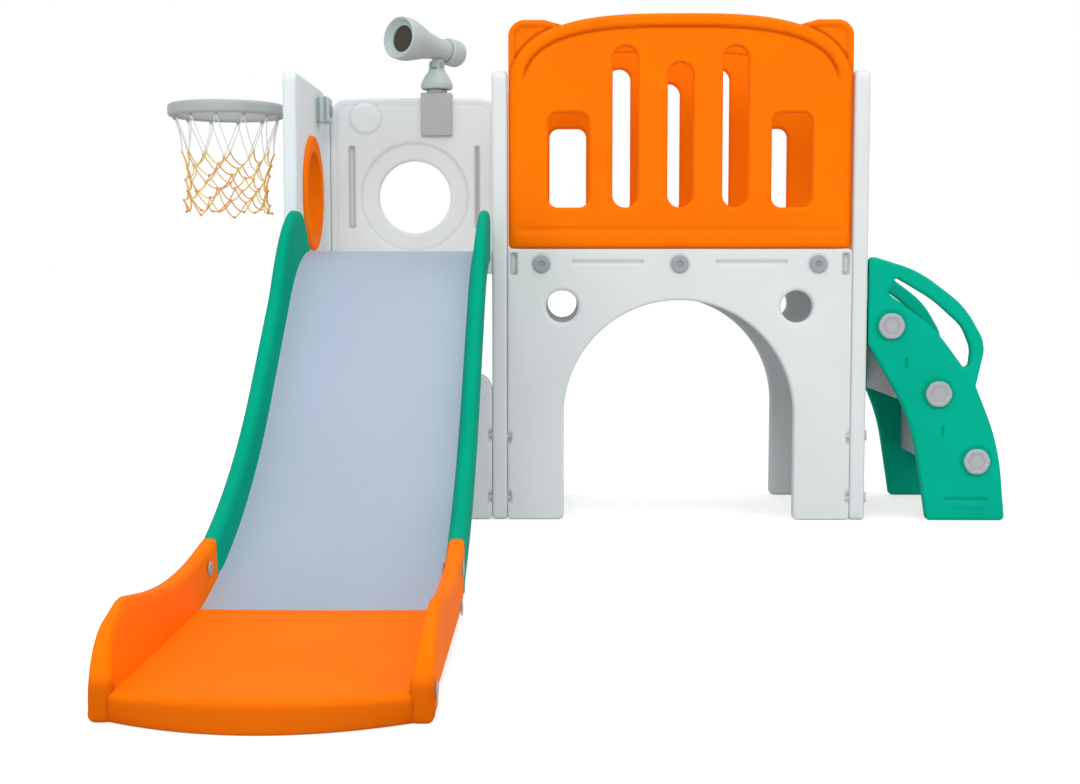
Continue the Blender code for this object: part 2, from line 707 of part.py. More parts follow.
def railing_outline():
    """Outer shape of a railing: straight sides, rounded ears and the bow between them."""
    half = (RIGHT_L - MID_R) / 2 - CLEAR
    foot = RAIL_TOP - RAIL_BOW
    between = [p for p in bow(half, RAIL_BOW, foot) if abs(p.x - TUNNEL_X) < EAR_DX - EAR_R]
    right_ear = arc(TUNNEL_X + half - EAR_R, EAR_TOP - EAR_R, EAR_R, 0, math.pi / 2)
    left_ear = arc(TUNNEL_X - half + EAR_R, EAR_TOP - EAR_R, EAR_R, math.pi / 2, math.pi)
    return without_repeats(
        [Vector((TUNNEL_X - half, PANEL_TOP + CLEAR)), Vector((TUNNEL_X + half, PANEL_TOP + CLEAR))]
        + right_ear + [Vector((TUNNEL_X + EAR_DX, EAR_TOP))] + between
        + [Vector((TUNNEL_X - EAR_DX, EAR_TOP))] + left_ear)


def railing_rim(half):
    """Raised band that follows the bow."""
    foot = RAIL_TOP - RAIL_BOW
    outer = bow(half - RIM_INSET, RAIL_BOW - RIM_INSET, foot)
    inner = bow(half - RIM_INSET - RIM_W, RAIL_BOW - RIM_INSET - RIM_W, foot)
    return without_repeats(outer + inner[::-1])


def railing(name, y_middle, outward):
    """Railing above the tunnel, with two windows, three slots and raised bands."""
    half = (RIGHT_L - MID_R) / 2 - CLEAR
    holes = []
    for dx, width, top, radius in (
            (-WINDOW_DX, WINDOW_W, WINDOW_TOP, WINDOW_R), (WINDOW_DX, WINDOW_W, WINDOW_TOP, WINDOW_R),
            (-SLOT_DX, SLOT_W, SLOT_TOP, SLOT_W / 2), (SLOT_DX, SLOT_W, SLOT_TOP, SLOT_W / 2),
            (0, SLOT_W, MID_SLOT_TOP, SLOT_W / 2)):
        x = TUNNEL_X + dx
        holes.append(box_outline(x - width / 2, x + width / 2, OPENING_FOOT, top, radius))
    rail = panel(name, [railing_outline()] + holes, "XZ", y_middle, RAIL_T, "orange")
    add_tabs(rail, MID_R + CLEAR, RIGHT_L - CLEAR, y_middle, RAIL_TAB_ZS)
    band_t = RAIL_T / 2 + RIM_PROUD
    band_y = y_middle + outward * band_t / 2
    rim_name = f"{name}_rim"
    fuse(rail, add_tool(rim_name, flat_mesh(rim_name, [railing_rim(half)], "XZ", band_y,
                                            band_t, RIM_PROUD / 2)))
    sill = box_outline(TUNNEL_X - half + RIM_INSET, TUNNEL_X + half - RIM_INSET,
                       PANEL_TOP + RIM_INSET, PANEL_TOP + SILL_H, FOOT_R)
    sill_name = f"{name}_sill"
    fuse(rail, add_tool(sill_name, flat_mesh(sill_name, [sill], "XZ", band_y,
                                             band_t, RIM_PROUD / 2)))


def deck(name, left_x, right_x, y_front, bolted):
    """A deck between two uprights, with a tongue along each end."""
    left, right = left_x + CLEAR, right_x - CLEAR
    back = DEPTH - WALL_T - CLEAR
    outline = box_outline(left, right, y_front, back)
    board = panel(name, [outline], "XY", DECK_Z - DECK_T / 2, DECK_T, "white", edge=0.003)
    for label, x_face, side in (("left", left_x, -1), ("right", right_x, 1)):
        low, high = deck_tongue(x_face, side)
        fuse(board, box_tool(f"{name}_tongue_{label}", low, high))
    if bolted:
        for index, x in enumerate(bolt_xs()):
            for label, y, inward in (("front", y_front, 1), ("back", back, -1)):
                cut(board, rod_tool(f"{name}_bolt_hole_{label}_{index}", BOLT_R + CLEAR,
                                    (x, y - inward * CLEAR, BOLT_Z),
                                    (x, y + inward * (BOLT_GRIP + CLEAR), BOLT_Z), 12))
    return board


def panel_bolts():
    """Round-headed bolts that hold the tunnel deck between its panels."""
    grip = WALL_T + CLEAR + BOLT_GRIP
    head = BOLT_HEAD_T
    profile = [(0, -grip), (BOLT_R, -grip), (BOLT_R, CLEAR), (BOLT_HEAD_R, CLEAR),
               (BOLT_HEAD_R, head - 0.002), (BOLT_HEAD_R - 0.002, head), (BOLT_SOCKET_R, head),
               (BOLT_SOCKET_R, head - BOLT_SOCKET_DEEP), (0, head - BOLT_SOCKET_DEEP)]
    for label, y, outward in (("front", 0, -1), ("back", DEPTH, 1)):
        for place, x in zip(("left", "middle", "right"), bolt_xs()):
            turned(f"tunnel_bolt_{label}_{place}", profile, (x, y, BOLT_Z), (0, outward, 0),
                   "bolt_grey", steps=12)


def peg(name, x0, x1, y, z, head_side=0):
    """A peg along X; head_side puts a flat head on its left (-1) or right (1) end."""
    along = -1 if head_side < 0 else 1
    start, length = (x1, x1 - x0) if along < 0 else (x0, x1 - x0)
    profile = [(0, 0), (PEG_R, 0), (PEG_R, length)]
    if head_side:
        profile += [(PEG_HEAD_R, length), (PEG_HEAD_R, length + PEG_HEAD_T), (0, length + PEG_HEAD_T)]
    else:
        profile += [(0, length)]
    turned(name, profile, (start, y, z), (along, 0, 0), "peg_grey", steps=12)


def pegs():
    """Pegs through the posts, each joining the panels on both sides of its post."""
    for level, z in zip(("low", "high"), PEG_ZS):
        peg(f"peg_left_front_{level}", LEFT_OUT - CLEAR, LEFT_IN + PEG_REACH, FRONT_Y, z, -1)
        peg(f"peg_middle_front_{level}", MID_L - PEG_REACH, MID_R + PEG_REACH, FRONT_Y, z)
        peg(f"peg_middle_back_{level}", MID_L - CLEAR, MID_R + PEG_REACH, BACK_Y, z, -1)
        for label, y in (("front", FRONT_Y), ("back", BACK_Y)):
            peg(f"peg_right_{label}_{level}", RIGHT_L - PEG_REACH, RIGHT_R + CLEAR, y, z, 1)


def porthole_ring():
    """Orange trim ring: a sleeve through the left panel and a lip on its inner face."""
    sleeve_r = RING_HOLE_R + RING_SLEEVE_T
    lip = CLEAR + RING_LIP
    profile = [(RING_HOLE_R, -WALL_T), (sleeve_r, -WALL_T), (sleeve_r, CLEAR),
               (RING_R, CLEAR), (RING_R, CLEAR + RING_LIP / 2), (RING_R - RING_LIP / 2, lip),
               (RING_HOLE_R + RING_LIP / 2, lip), (RING_HOLE_R, CLEAR + RING_LIP / 2)]
    turned("porthole_ring", profile, (LEFT_IN, DEPTH / 2, PORT_Z), (1, 0, 0), "orange",
           steps=RING_SIDES, closed=True)


BED_L = LIP_L + CREST_R * SLOPE + STRAIGHT_L + RUNOUT_R * (SLOPE - RUNOUT_END)
SIDE_END_RUN = BED_L - RUNOUT_R * (SIDE_END - RUNOUT_END)
SLIDE_HALF = TOWER_CLEAR / 2 - SLIDE_SIDE_GAP


def slide_at(run):
    """Bed surface (y, z) and slope after a path length from the deck.

    A flat lip, an arc over the crest, a straight slope and a long arc that runs out.
    """
    crest_l = CREST_R * SLOPE
    y, z = -CLEAR, DECK_Z
    if run <= LIP_L:
        return Vector((y - run, z)), 0.0
    y -= LIP_L
    run -= LIP_L
    if run <= crest_l:
        a = run / CREST_R
        return Vector((y - CREST_R * math.sin(a), z - CREST_R * (1 - math.cos(a)))), a
    y -= CREST_R * math.sin(SLOPE)
    z -= CREST_R * (1 - math.cos(SLOPE))
    run -= crest_l
    straight = min(run, STRAIGHT_L)
    y -= straight * math.cos(SLOPE)
    z -= straight * math.sin(SLOPE)
    if run <= STRAIGHT_L:
        return Vector((y, z)), SLOPE
    a = SLOPE - (run - STRAIGHT_L) / RUNOUT_R
    return Vector((y - RUNOUT_R * (math.sin(SLOPE) - math.sin(a)),
                   z - RUNOUT_R * (math.cos(a) - math.cos(SLOPE)))), a


def beside_bed(run, height):
    """The point at a height square to the bed."""
    point, slope = slide_at(run)
    return point + height * Vector((-math.sin(slope), math.cos(slope)))


def runs(start, end):
    """Evenly spaced path lengths, closer than PATH_STEP."""
    count = math.ceil((end - start) / PATH_STEP)
    return [start + (end - start) * k / count for k in range(count + 1)]


def bed_mesh(name, half_width, thickness, fillet):
    """The bed: its cross-section, with filleted sides, swept along the path."""
    section = bpy.data.curves.new(name + "_section", "CURVE")
    section.dimensions = "2D"
    outline = [Vector((-half_width, -thickness)), Vector((half_width, -thickness))]
    if fillet:
        outline += arc(half_width - fillet, fillet, fillet, 0, -math.pi / 2, 3)
        outline += arc(-half_width + fillet, fillet, fillet, -math.pi / 2, -math.pi, 3)
    else:
        outline += [Vector((half_width, 0)), Vector((-half_width, 0))]
    spline = section.splines.new("POLY")
    spline.points.add(len(outline) - 1)
    for target, point in zip(spline.points, outline):
        target.co = (point.x, point.y, 0, 1)
    spline.use_cyclic_u = True
    section_holder = bpy.data.objects.new(name + "_section", section)
    bpy.context.scene.collection.objects.link(section_holder)

    path = bpy.data.curves.new(name + "_path", "CURVE")
    path.dimensions = "3D"
    path.twist_mode = "Z_UP"
    path.bevel_mode = "OBJECT"
    path.bevel_object = section_holder
    path.use_fill_caps = True
    route = [slide_at(run)[0] for run in [0.0] + runs(LIP_L, BED_L)]
    spline = path.splines.new("POLY")
    spline.points.add(len(route) - 1)
    for target, point in zip(spline.points, route):
        target.co = (TOWER_X, point.x, point.y, 1)
    holder = bpy.data.objects.new(name, path)
    bpy.context.scene.collection.objects.link(holder)
    bpy.context.view_layer.update()
    graph = bpy.context.evaluated_depsgraph_get()
    mesh = bpy.data.meshes.new_from_object(holder.evaluated_get(graph))
    for temporary in (holder, section_holder):
        bpy.data.objects.remove(temporary)
    tidy(mesh)
    return mesh


def slide_bed():
    half = SLIDE_HALF - SLIDE_RAIL_T - CLEAR
    bed = add_piece("slide_bed", bed_mesh("slide_bed", half, BED_T, BED_FILLET), "bed_grey")
    low, high = bed_tongue()
    fuse(bed, box_tool("slide_bed_tongue", low, high))


def bed_tongue(gap=0.0):
    """Corners of the bed's tongue in the tower deck, or of its groove with a gap."""
    half = SLIDE_HALF - 2 * SLIDE_RAIL_T + gap
    z = DECK_Z - BED_T / 2
    t = BED_T / 4 + gap
    return (TOWER_X - half, -TONGUE_L, z - t), (TOWER_X + half, TONGUE_L + gap, z + t)


def side_height(run):
    """Height of a side rail above the bed: high at the crest, then level."""
    start, end = SIDE_SINK
    t = min(1.0, max(0.0, (run - start) / (end - start)))
    ease = t * t * (3 - 2 * t)
    return SIDE_CREST + (SIDE_UP - SIDE_CREST) * ease


def slide_rails():
    """Green side rails: outlines along the bed's path, cut square where the exit begins."""
    crest_z = beside_bed(SIDE_SINK[0], SIDE_CREST).y
    rear_y = slide_at(LIP_L)[0].x
    top = [beside_bed(SIDE_SINK[0] + (SIDE_END_RUN - SIDE_SINK[0]) * k / SIDE_STEPS,
                      side_height(SIDE_SINK[0] + (SIDE_END_RUN - SIDE_SINK[0]) * k / SIDE_STEPS))
           for k in range(SIDE_STEPS + 1)]
    foot = [beside_bed(run, -SIDE_LOW) for run in runs(LIP_L, SIDE_END_RUN)]
    corner = arc(rear_y - SIDE_CREST_R, crest_z - SIDE_CREST_R, SIDE_CREST_R, 0, math.pi / 2)
    outline = without_repeats(corner + top + foot[::-1])
    for label, side in (("left", -1), ("right", 1)):
        middle = TOWER_X + side * (SLIDE_HALF - SLIDE_RAIL_T / 2)
        panel(f"slide_rail_{label}", [outline], "YZ", middle, SLIDE_RAIL_T, "green", SIDE_EDGE)


def cheek_outline():
    """Side of the exit: on from the side rail, over a dip and a hump to a round nose."""
    start = SIDE_END_RUN + CLEAR
    top, foot = beside_bed(start, SIDE_UP), beside_bed(start, -SIDE_LOW)
    front = [(back - EXIT_L, z, radius) for back, z, radius in (CHEEK_DIP, CHEEK_HUMP, CHEEK_NOSE)]
    heel, heel_r = CHEEK_HEEL
    return rounded([(foot.x, foot.y, 0), (top.x, top.y, 0)] + front + [
        (-EXIT_L, 0, CHEEK_FOOT_R), (-EXIT_L + CHEEK_FOOT_L, 0, CHEEK_FOOT_R),
        (-EXIT_L + CHEEK_FOOT_L + CHEEK_LIFT, CHEEK_LIFT, CHEEK_FOOT_R),
        (foot.x - heel, CHEEK_LIFT, heel_r),
    ])


def slide_bolt_places():
    """Path (y, z) of each pair of bolts in the cheeks."""
    before, up = UPPER_BOLT
    upper = beside_bed(BED_L - before, up)
    before, z = LOWER_BOLT
    lower = Vector((slide_at(BED_L - before)[0].x, z))
    behind, z = FRONT_BOLT
    return {"upper": upper, "lower": lower, "front": Vector((behind - EXIT_L, z))}


def slide_exit():
    """Orange exit: two cheeks and a tray with a bowed front."""
    left_mid = TOWER_X - SLIDE_HALF + SLIDE_RAIL_T / 2
    right_mid = TOWER_X + SLIDE_HALF - SLIDE_RAIL_T / 2
    outline = cheek_outline()
    name = "slide_exit"
    exit_piece = panel(name, [outline], "YZ", left_mid, SLIDE_RAIL_T, "orange", SIDE_EDGE)
    cheek = f"{name}_right_cheek"
    fuse(exit_piece, add_tool(cheek, flat_mesh(cheek, [outline], "YZ", right_mid, SLIDE_RAIL_T,
                                               SIDE_EDGE)))
    half = SLIDE_HALF - SLIDE_RAIL_T + TRAY_ROOT
    front_r = (half * half + EXIT_BOW * EXIT_BOW) / (2 * EXIT_BOW)
    sweep = math.asin(half / front_r)
    front = arc(TOWER_X, -EXIT_L - EXIT_BOW + front_r, front_r,
                -math.pi / 2 - sweep, -math.pi / 2 + sweep)
    tray_outline = front + [Vector((TOWER_X + half, -TRAY_BACK_L)),
                            Vector((TOWER_X - half, -TRAY_BACK_L))]
    tray = f"{name}_tray"
    fuse(exit_piece, add_tool(tray, flat_mesh(tray, [tray_outline], "XY", TRAY_TOP / 2, TRAY_TOP,
                                              TRAY_ROLL)))
    seat = f"{name}_bed_seat"
    cut(exit_piece, add_tool(seat, bed_mesh(seat, SLIDE_HALF - SLIDE_RAIL_T + REBATE,
                                            BED_T + CLEAR, 0)))
    for label, side in (("left", -1), ("right", 1)):
        x = TOWER_X + side * (SLIDE_HALF - SLIDE_RAIL_T + REBATE - NOTCH_W / 2)
        cut(exit_piece, box_tool(f"{name}_notch_{label}",
                                 (x - NOTCH_W / 2, -EXIT_L - EXIT_BOW, -CLEAR),
                                 (x + NOTCH_W / 2, -EXIT_L + NOTCH_L, TRAY_TOP + CLEAR)))
        inner = TOWER_X + side * (SLIDE_HALF - SLIDE_RAIL_T - 2 * REBATE)
        outer = TOWER_X + side * (SLIDE_HALF + CLEAR)
        deep = outer - side * (SIDE_BOLT_GRIP + 2 * CLEAR)
        for place, (y, z) in slide_bolt_places().items():
            end = inner if place == "upper" else deep
            cut(exit_piece, rod_tool(f"{name}_{place}_bolt_hole_{label}", SIDE_BOLT_R + CLEAR,
                                     (outer, y, z), (end, y, z), 12))


def slide_bolts():
    """Bolts in the exit's cheeks; the upper pair goes through and has a cap inside."""
    head = [(SIDE_BOLT_R, CLEAR), (SIDE_BOLT_HEAD_R, CLEAR),
            (SIDE_BOLT_HEAD_R, SIDE_BOLT_HEAD_T - 0.001), (SIDE_BOLT_HEAD_R - 0.001, SIDE_BOLT_HEAD_T),
            (0, SIDE_BOLT_HEAD_T)]
    blind = [(0, -SIDE_BOLT_GRIP), (SIDE_BOLT_R, -SIDE_BOLT_GRIP)] + head
    through = SLIDE_RAIL_T + CLEAR
    capped = [(0, -through - SIDE_BOLT_HEAD_T), (SIDE_BOLT_HEAD_R, -through - SIDE_BOLT_HEAD_T),
              (SIDE_BOLT_HEAD_R, -through), (SIDE_BOLT_R, -through)] + head
    for label, side in (("left", -1), ("right", 1)):
        x = TOWER_X + side * SLIDE_HALF
        for place, (y, z) in slide_bolt_places().items():
            profile = capped if place == "upper" else blind
            turned(f"slide_bolt_{place}_{label}", profile, (x, y, z), (side, 0, 0), "bolt_grey",
                   steps=12)


def step_centres():
    """World x and z of each step's caps, from the top step down."""
    last = STEP_COUNT - 1
    return [(RIGHT_R + STEP_TOP_X + STEP_RUN * k + STEP_BOW * k * (last - k),
             STEP_TOP_Z - STEP_RISE * k) for k in range(STEP_COUNT)]


def climber_loop(corners):
    """Rounded outline from corners given from the climber's end of the right frame."""
    return rounded([(RIGHT_R + CLEAR + x, z, radius) for x, z, radius in corners])


def climber_side(name, y_middle):
    """Side of the climber: sloping back, bowed front and a crescent handle opening."""
    loops = [climber_loop(CLIMBER_CORNERS), climber_loop(HANDLE_CORNERS)]
    side_wall = panel(name, loops, "XZ", y_middle, CLIMBER_T, "green", CLIMBER_EDGE)
    for index, (low, high) in enumerate(tab_boxes(RIGHT_R + CLEAR, -1, y_middle, CLIMBER_TAB_ZS)):
        fuse(side_wall, box_tool(f"{name}_tab_{index}", low, high))
    for index, (x, z) in enumerate(step_centres()):
        cut(side_wall, rod_tool(f"{name}_cap_hole_{index}", CAP_SHANK_R + CLEAR,
                                (x, y_middle - CLIMBER_T, z), (x, y_middle + CLIMBER_T, z), 12))


def climber_steps():
    """L-shaped treads: a board with a riser up to the underside of the step above."""
    front, back = CLIMBER_T + CLEAR, DEPTH - CLIMBER_T - CLEAR
    centres = step_centres()
    for index, (x, z) in enumerate(centres):
        rear = max(x - TREAD_BACK, RIGHT_R + CLEAR)
        corners = [(rear, z - TREAD_T / 2, STEP_EDGE), (x + TREAD_FRONT, z - TREAD_T / 2, STEP_EDGE),
                   (x + TREAD_FRONT, z + TREAD_T / 2, STEP_EDGE)]
        if index:
            top = centres[index - 1][1] - TREAD_T / 2 - CLEAR
            corners += [(rear + RISER_T, z + TREAD_T / 2, STEP_EDGE), (rear + RISER_T, top, 0),
                        (rear, top, 0)]
        else:
            corners.append((rear, z + TREAD_T / 2, STEP_EDGE))
        tread = panel(f"climber_step_{index + 1}", [rounded(corners)], "XZ", DEPTH / 2,
                      back - front, "step_grey", edge=0.002)
        for label, y, inward in (("front", front, 1), ("back", back, -1)):
            cut(tread, rod_tool(f"climber_step_{index + 1}_hole_{label}", CAP_SHANK_R + CLEAR,
                                (x, y - inward * CLEAR, z), (x, y + inward * (CAP_GRIP + CLEAR), z), 12))


def step_caps():
    """Six-sided caps that hold the steps' ends."""
    grip = CLIMBER_T + CLEAR + CAP_GRIP
    profile = [(0, -grip), (CAP_SHANK_R, -grip), (CAP_SHANK_R, CLEAR), (CAP_R, CLEAR),
               (CAP_R, CAP_T - 0.003), (CAP_R - 0.004, CAP_T), (0, CAP_T)]
    for index, (x, z) in enumerate(step_centres()):
        for label, y, outward in (("front", 0, -1), ("back", DEPTH, 1)):
            turned(f"step_cap_{label}_{index + 1}", profile, (x, y, z), (0, outward, 0),
                   "step_grey", steps=6)


def empty(name, location, parent=None):
    holder = bpy.data.objects.new(name, None)
    bpy.context.scene.collection.objects.link(holder)
    holder.location = location
    holder.parent = parent
    return holder


def telescope_clamp():
    """Saddle over the back panel's top, with the pivot and spigot that the telescope turns on."""
    front, back = DEPTH - WALL_T - CLEAR, DEPTH + CLEAR
    top = BACK_TOP + CLEAR
    outline = [Vector(p) for p in (
        (front - CLAMP_T, BACK_TOP - CLAMP_H), (front, BACK_TOP - CLAMP_H), (front, top),
        (back, top), (back, BACK_TOP - CLAMP_BACK_H), (back + CLAMP_T, BACK_TOP - CLAMP_BACK_H),
        (back + CLAMP_T, top + CLAMP_T), (front - CLAMP_T, top + CLAMP_T))]
    clamp = panel("telescope_clamp", [outline], "YZ", SCOPE_X, CLAMP_W, "grey", CLAMP_EDGE)
    bridge = top + CLAMP_T
    for label, radius, low, high in (("pivot", PIVOT_R, top + CLAMP_T / 2, bridge + PIVOT_H),
                                     ("spigot", SPIGOT_R, bridge, bridge + PIVOT_H + SPIGOT_H)):
        fuse(clamp, rod_tool(f"telescope_clamp_{label}", radius, (SCOPE_X, BACK_Y, low),
                             (SCOPE_X, BACK_Y, high), 24))
    screw_z = BACK_TOP - CLAMP_BACK_H / 2
    cut(clamp, rod_tool("telescope_clamp_screw_hole", KNOB_SCREW_R + CLEAR,
                        (SCOPE_X, back - CLEAR / 2, screw_z),
                        (SCOPE_X, back + CLAMP_T + CLEAR, screw_z)))
    shank = CLAMP_T + CLEAR
    profile = [(0, 0), (KNOB_SCREW_R, 0), (KNOB_SCREW_R, shank), (KNOB_R, shank),
               (KNOB_R, shank + KNOB_T - 0.002), (KNOB_R - 0.002, shank + KNOB_T), (0, shank + KNOB_T)]
    turned("telescope_clamp_knob", profile, (SCOPE_X, back, screw_z), (0, 1, 0), "grey", steps=16)


def telescope_swivel(pan):
    """Bell that turns on the clamp's pivot, with a fork for the barrel's lug."""
    bore = SPIGOT_R + RUN_GAP
    deep = SPIGOT_H + RUN_GAP
    neck_top = TILT_UP - FORK_DEEP + 0.004
    profile = [(bore, 0), (BELL_R - 0.004, 0), (BELL_R, 0.005), (BELL_R, 0.013), (BELL_R - 0.007, 0.028),
               (NECK_R + 0.005, BELL_H - 0.006), (NECK_R, BELL_H), (NECK_R, neck_top), (0, neck_top),
               (0, deep), (bore, deep)]
    swivel = turned("telescope_swivel", profile, (0, 0, 0), (0, 0, 1), "grey", closed=True, parent=pan)
    width = LUG_T + 2 * (RUN_GAP + FORK_T)
    low = BELL_H - 0.004
    arms = rounded([(-FORK_R, low, 0), (FORK_R, low, 0), (FORK_R, TILT_UP + FORK_R, FORK_R),
                    (-FORK_R, TILT_UP + FORK_R, FORK_R)])
    tool = add_tool("telescope_fork", flat_mesh("telescope_fork", [arms], "YZ", 0, width, 0.001))
    slot_half = LUG_T / 2 + RUN_GAP
    slot = box_tool("telescope_fork_slot", (-slot_half, -BELL_R, TILT_UP - FORK_DEEP),
                    (slot_half, BELL_R, TILT_UP + 2 * FORK_R))
    hole = rod_tool("telescope_fork_hole", TILT_PIN_R + CLEAR, (-NECK_R, 0, TILT_UP),
                    (NECK_R, 0, TILT_UP))
    for part in (tool, slot, hole):
        part.parent = pan
    fuse(swivel, tool)
    cut(swivel, slot, hole)
    half = width / 2 + CLEAR
    head_r, head_t = 1.8 * TILT_PIN_R, TILT_PIN_R / 2
    pin_profile = [(0, -half - head_t), (head_r, -half - head_t), (head_r, -half), (TILT_PIN_R, -half),
                   (TILT_PIN_R, half), (head_r, half), (head_r, half + head_t), (0, half + head_t)]
    turned("telescope_tilt_pin", pin_profile, (0, 0, TILT_UP), (1, 0, 0), "bolt_grey", steps=16,
           parent=pan)


def telescope_barrel(tilt):
    """Barrel with its hood, lug, lens and eyepiece; local -Y is where it points."""
    up = SCOPE_AXIS_UP
    mouth_r = HOOD_R - HOOD_LIP
    seat = HOOD_MOUTH - LENS_SEAT
    bezel = HOOD_MOUTH - BEZEL_DEEP
    profile = [(0, -BARREL_TAIL), (WAIST_R - 0.003, -BARREL_TAIL), (WAIST_R, -BARREL_TAIL + 0.004),
               (WAIST_R, 0.004), (HOOD_R - 0.008, HOOD_SHOULDER - 0.014),
               (HOOD_R - 0.002, HOOD_SHOULDER + 0.008),
               (HOOD_R, HOOD_SHOULDER + 0.025), (HOOD_R - 0.0015, HOOD_MOUTH - 0.003),
               (HOOD_R - 0.004, HOOD_MOUTH), (mouth_r, HOOD_MOUTH - 0.002), (LENS_R + 0.003, bezel),
               (LENS_R + CLEAR, bezel), (LENS_R + CLEAR, seat), (0, seat)]
    barrel = turned("telescope_barrel", profile, (0, 0, up), (0, -1, 0), "grey", steps=24, parent=tilt)
    lug = rounded([(-LUG_R, -LUG_R, LUG_R), (LUG_R, -LUG_R, LUG_R), (LUG_R, up - WAIST_R / 2, 0),
                   (-LUG_R, up - WAIST_R / 2, 0)])
    lug_tool = add_tool("telescope_lug", flat_mesh("telescope_lug", [lug], "YZ", 0, LUG_T, 0))
    hole = rod_tool("telescope_lug_hole", TILT_PIN_R + RUN_GAP / 2, (-NECK_R, 0, 0), (NECK_R, 0, 0))
    for part in (lug_tool, hole):
        part.parent = tilt
    fuse(barrel, lug_tool)
    cut(barrel, hole)
    lens = [(0, seat + CLEAR), (LENS_R, seat + CLEAR), (LENS_R, seat + LENS_T - 0.001),
            (LENS_R - 0.001, seat + LENS_T), (0, seat + LENS_T + 0.001)]
    turned("telescope_lens", lens, (0, 0, up), (0, -1, 0), "lens_dark", parent=tilt)
    near = BARREL_TAIL + CLEAR
    far = near + EYE_L
    eye = [(0, -near), (EYE_R - 0.005, -near), (EYE_R, -near - 0.005), (EYE_R, -far + 0.008),
           (EYE_R - 0.004, -far), (EYE_HOLE_R, -far), (EYE_HOLE_R - 0.004, -far + EYE_HOLE_DEEP),
           (0, -far + EYE_HOLE_DEEP)]
    turned("telescope_eyepiece", eye[::-1], (0, 0, up), (0, -1, 0), "grey", parent=tilt)


def telescope():
    telescope_clamp()
    foot = BACK_TOP + CLEAR + CLAMP_T + PIVOT_H + CLEAR
    pan = empty("telescope_pan_axis", (SCOPE_X, BACK_Y, foot))
    pan.rotation_euler = (0, 0, PAN_REST)
    telescope_swivel(pan)
    tilt = empty("telescope_tilt_axis", (0, 0, TILT_UP), pan)
    tilt.rotation_euler = (-TILT_REST, 0, 0)
    telescope_barrel(tilt)


def hoop():
    """Hoop with its arm and pad outside the left panel, a jaw inside and a screw through all."""
    x = LEFT_OUT - HOOP_GAP - HOOP_R
    inner, outer = HOOP_R - HOOP_BAND_W, HOOP_R
    half = HOOP_BAND_H / 2
    bevel = HOOP_BAND_W / 5
    band = [(inner + bevel, -half), (outer - bevel, -half), (outer, -half + bevel),
            (outer, half - bevel), (outer - bevel, half), (inner + bevel, half),
            (inner, half - bevel), (inner, -half + bevel)]
    ring = turned("hoop_ring", band, (x, HOOP_Y, HOOP_Z), (0, 0, 1), "grey", steps=36, closed=True)
    wall = LEFT_OUT - CLEAR
    arm_half = HOOP_ARM_W / 2
    fuse(ring, box_tool("hoop_arm",
                        (x + outer - HOOP_BAND_W / 2, HOOP_Y - arm_half, HOOP_Z - half + bevel),
                        (wall - PAD_T / 2, HOOP_Y + arm_half, HOOP_Z + half - bevel)),
         box_tool("hoop_pad", (wall - PAD_T, HOOP_Y - arm_half, HOOP_Z - PAD_H / 2),
                  (wall, HOOP_Y + arm_half, HOOP_Z + PAD_H / 2)))
    jaw = box_outline(LEFT_IN + CLEAR, LEFT_IN + CLEAR + JAW_T, HOOP_Y - arm_half, HOOP_Y + arm_half,
                      bevel)
    jaw_piece = panel("hoop_jaw", [jaw], "XY", HOOP_Z, PAD_H, "grey", CLAMP_EDGE)
    far = wall - HOOP_SCREW_GRIP
    near = LEFT_IN + CLEAR + JAW_T
    for owner, piece in (("ring", ring), ("jaw", jaw_piece)):
        cut(piece, rod_tool(f"hoop_{owner}_screw_hole", HOOP_SCREW_R + CLEAR,
                            (far - CLEAR, HOOP_Y, HOOP_Z), (near + CLEAR, HOOP_Y, HOOP_Z)))
    length = near - far
    profile = [(0, -length), (HOOP_SCREW_R, -length), (HOOP_SCREW_R, CLEAR), (HOOP_SCREW_HEAD_R, CLEAR),
               (HOOP_SCREW_HEAD_R, HOOP_SCREW_HEAD_T), (0, HOOP_SCREW_HEAD_T)]
    turned("hoop_screw", profile, (near, HOOP_Y, HOOP_Z), (1, 0, 0), "bolt_grey", steps=16)
    hoop_net(x)


def hoop_net(x):
    """Net below the hoop: diamonds on a narrowing drum, thickened along their edges."""
    top = HOOP_Z - HOOP_BAND_H / 2 - CLEAR - NET_CORD / 2
    points = []
    for level in range(NET_LEVELS + 1):
        t = level / NET_LEVELS
        radius = NET_FOOT_R + (NET_TOP_R - NET_FOOT_R) * (1 - t) ** 2
        for k in range(NET_MESHES):
            angle = 2 * math.pi * (k + (level % 2) / 2) / NET_MESHES
            points.append((x + radius * math.cos(angle), HOOP_Y + radius * math.sin(angle),
                           top - t * NET_DROP))
    faces = []
    for level in range(NET_LEVELS - 1):
        for k in range(NET_MESHES):
            side = k if level % 2 == 0 else (k + 1) % NET_MESHES
            faces.append((level * NET_MESHES + k,
                          (level + 1) * NET_MESHES + (side - 1) % NET_MESHES,
                          (level + 2) * NET_MESHES + k,
                          (level + 1) * NET_MESHES + side))
    mesh = bpy.data.meshes.new("hoop_net")
    mesh.from_pydata(points, [], faces)
    net = add_piece("hoop_net", mesh, "net_cord")
    strands = net.modifiers.new("strands", "WIREFRAME")
    strands.thickness = NET_CORD
    strands.use_even_offset = False
    strands.use_boundary = True


def centre_on_floor(root):
    """Moves the root so that the footprint's centre is the world origin."""
    bpy.context.view_layer.update()
    graph = bpy.context.evaluated_depsgraph_get()
    corners = []
    for piece in bpy.data.objects:
        if piece.type == "MESH" and not piece.hide_render:
            solid = piece.evaluated_get(graph)
            corners += [solid.matrix_world @ v.co for v in solid.data.vertices]
    for axis in (0, 1):
        values = [corner[axis] for corner in corners]
        root.location[axis] = -(min(values) + max(values)) / 2


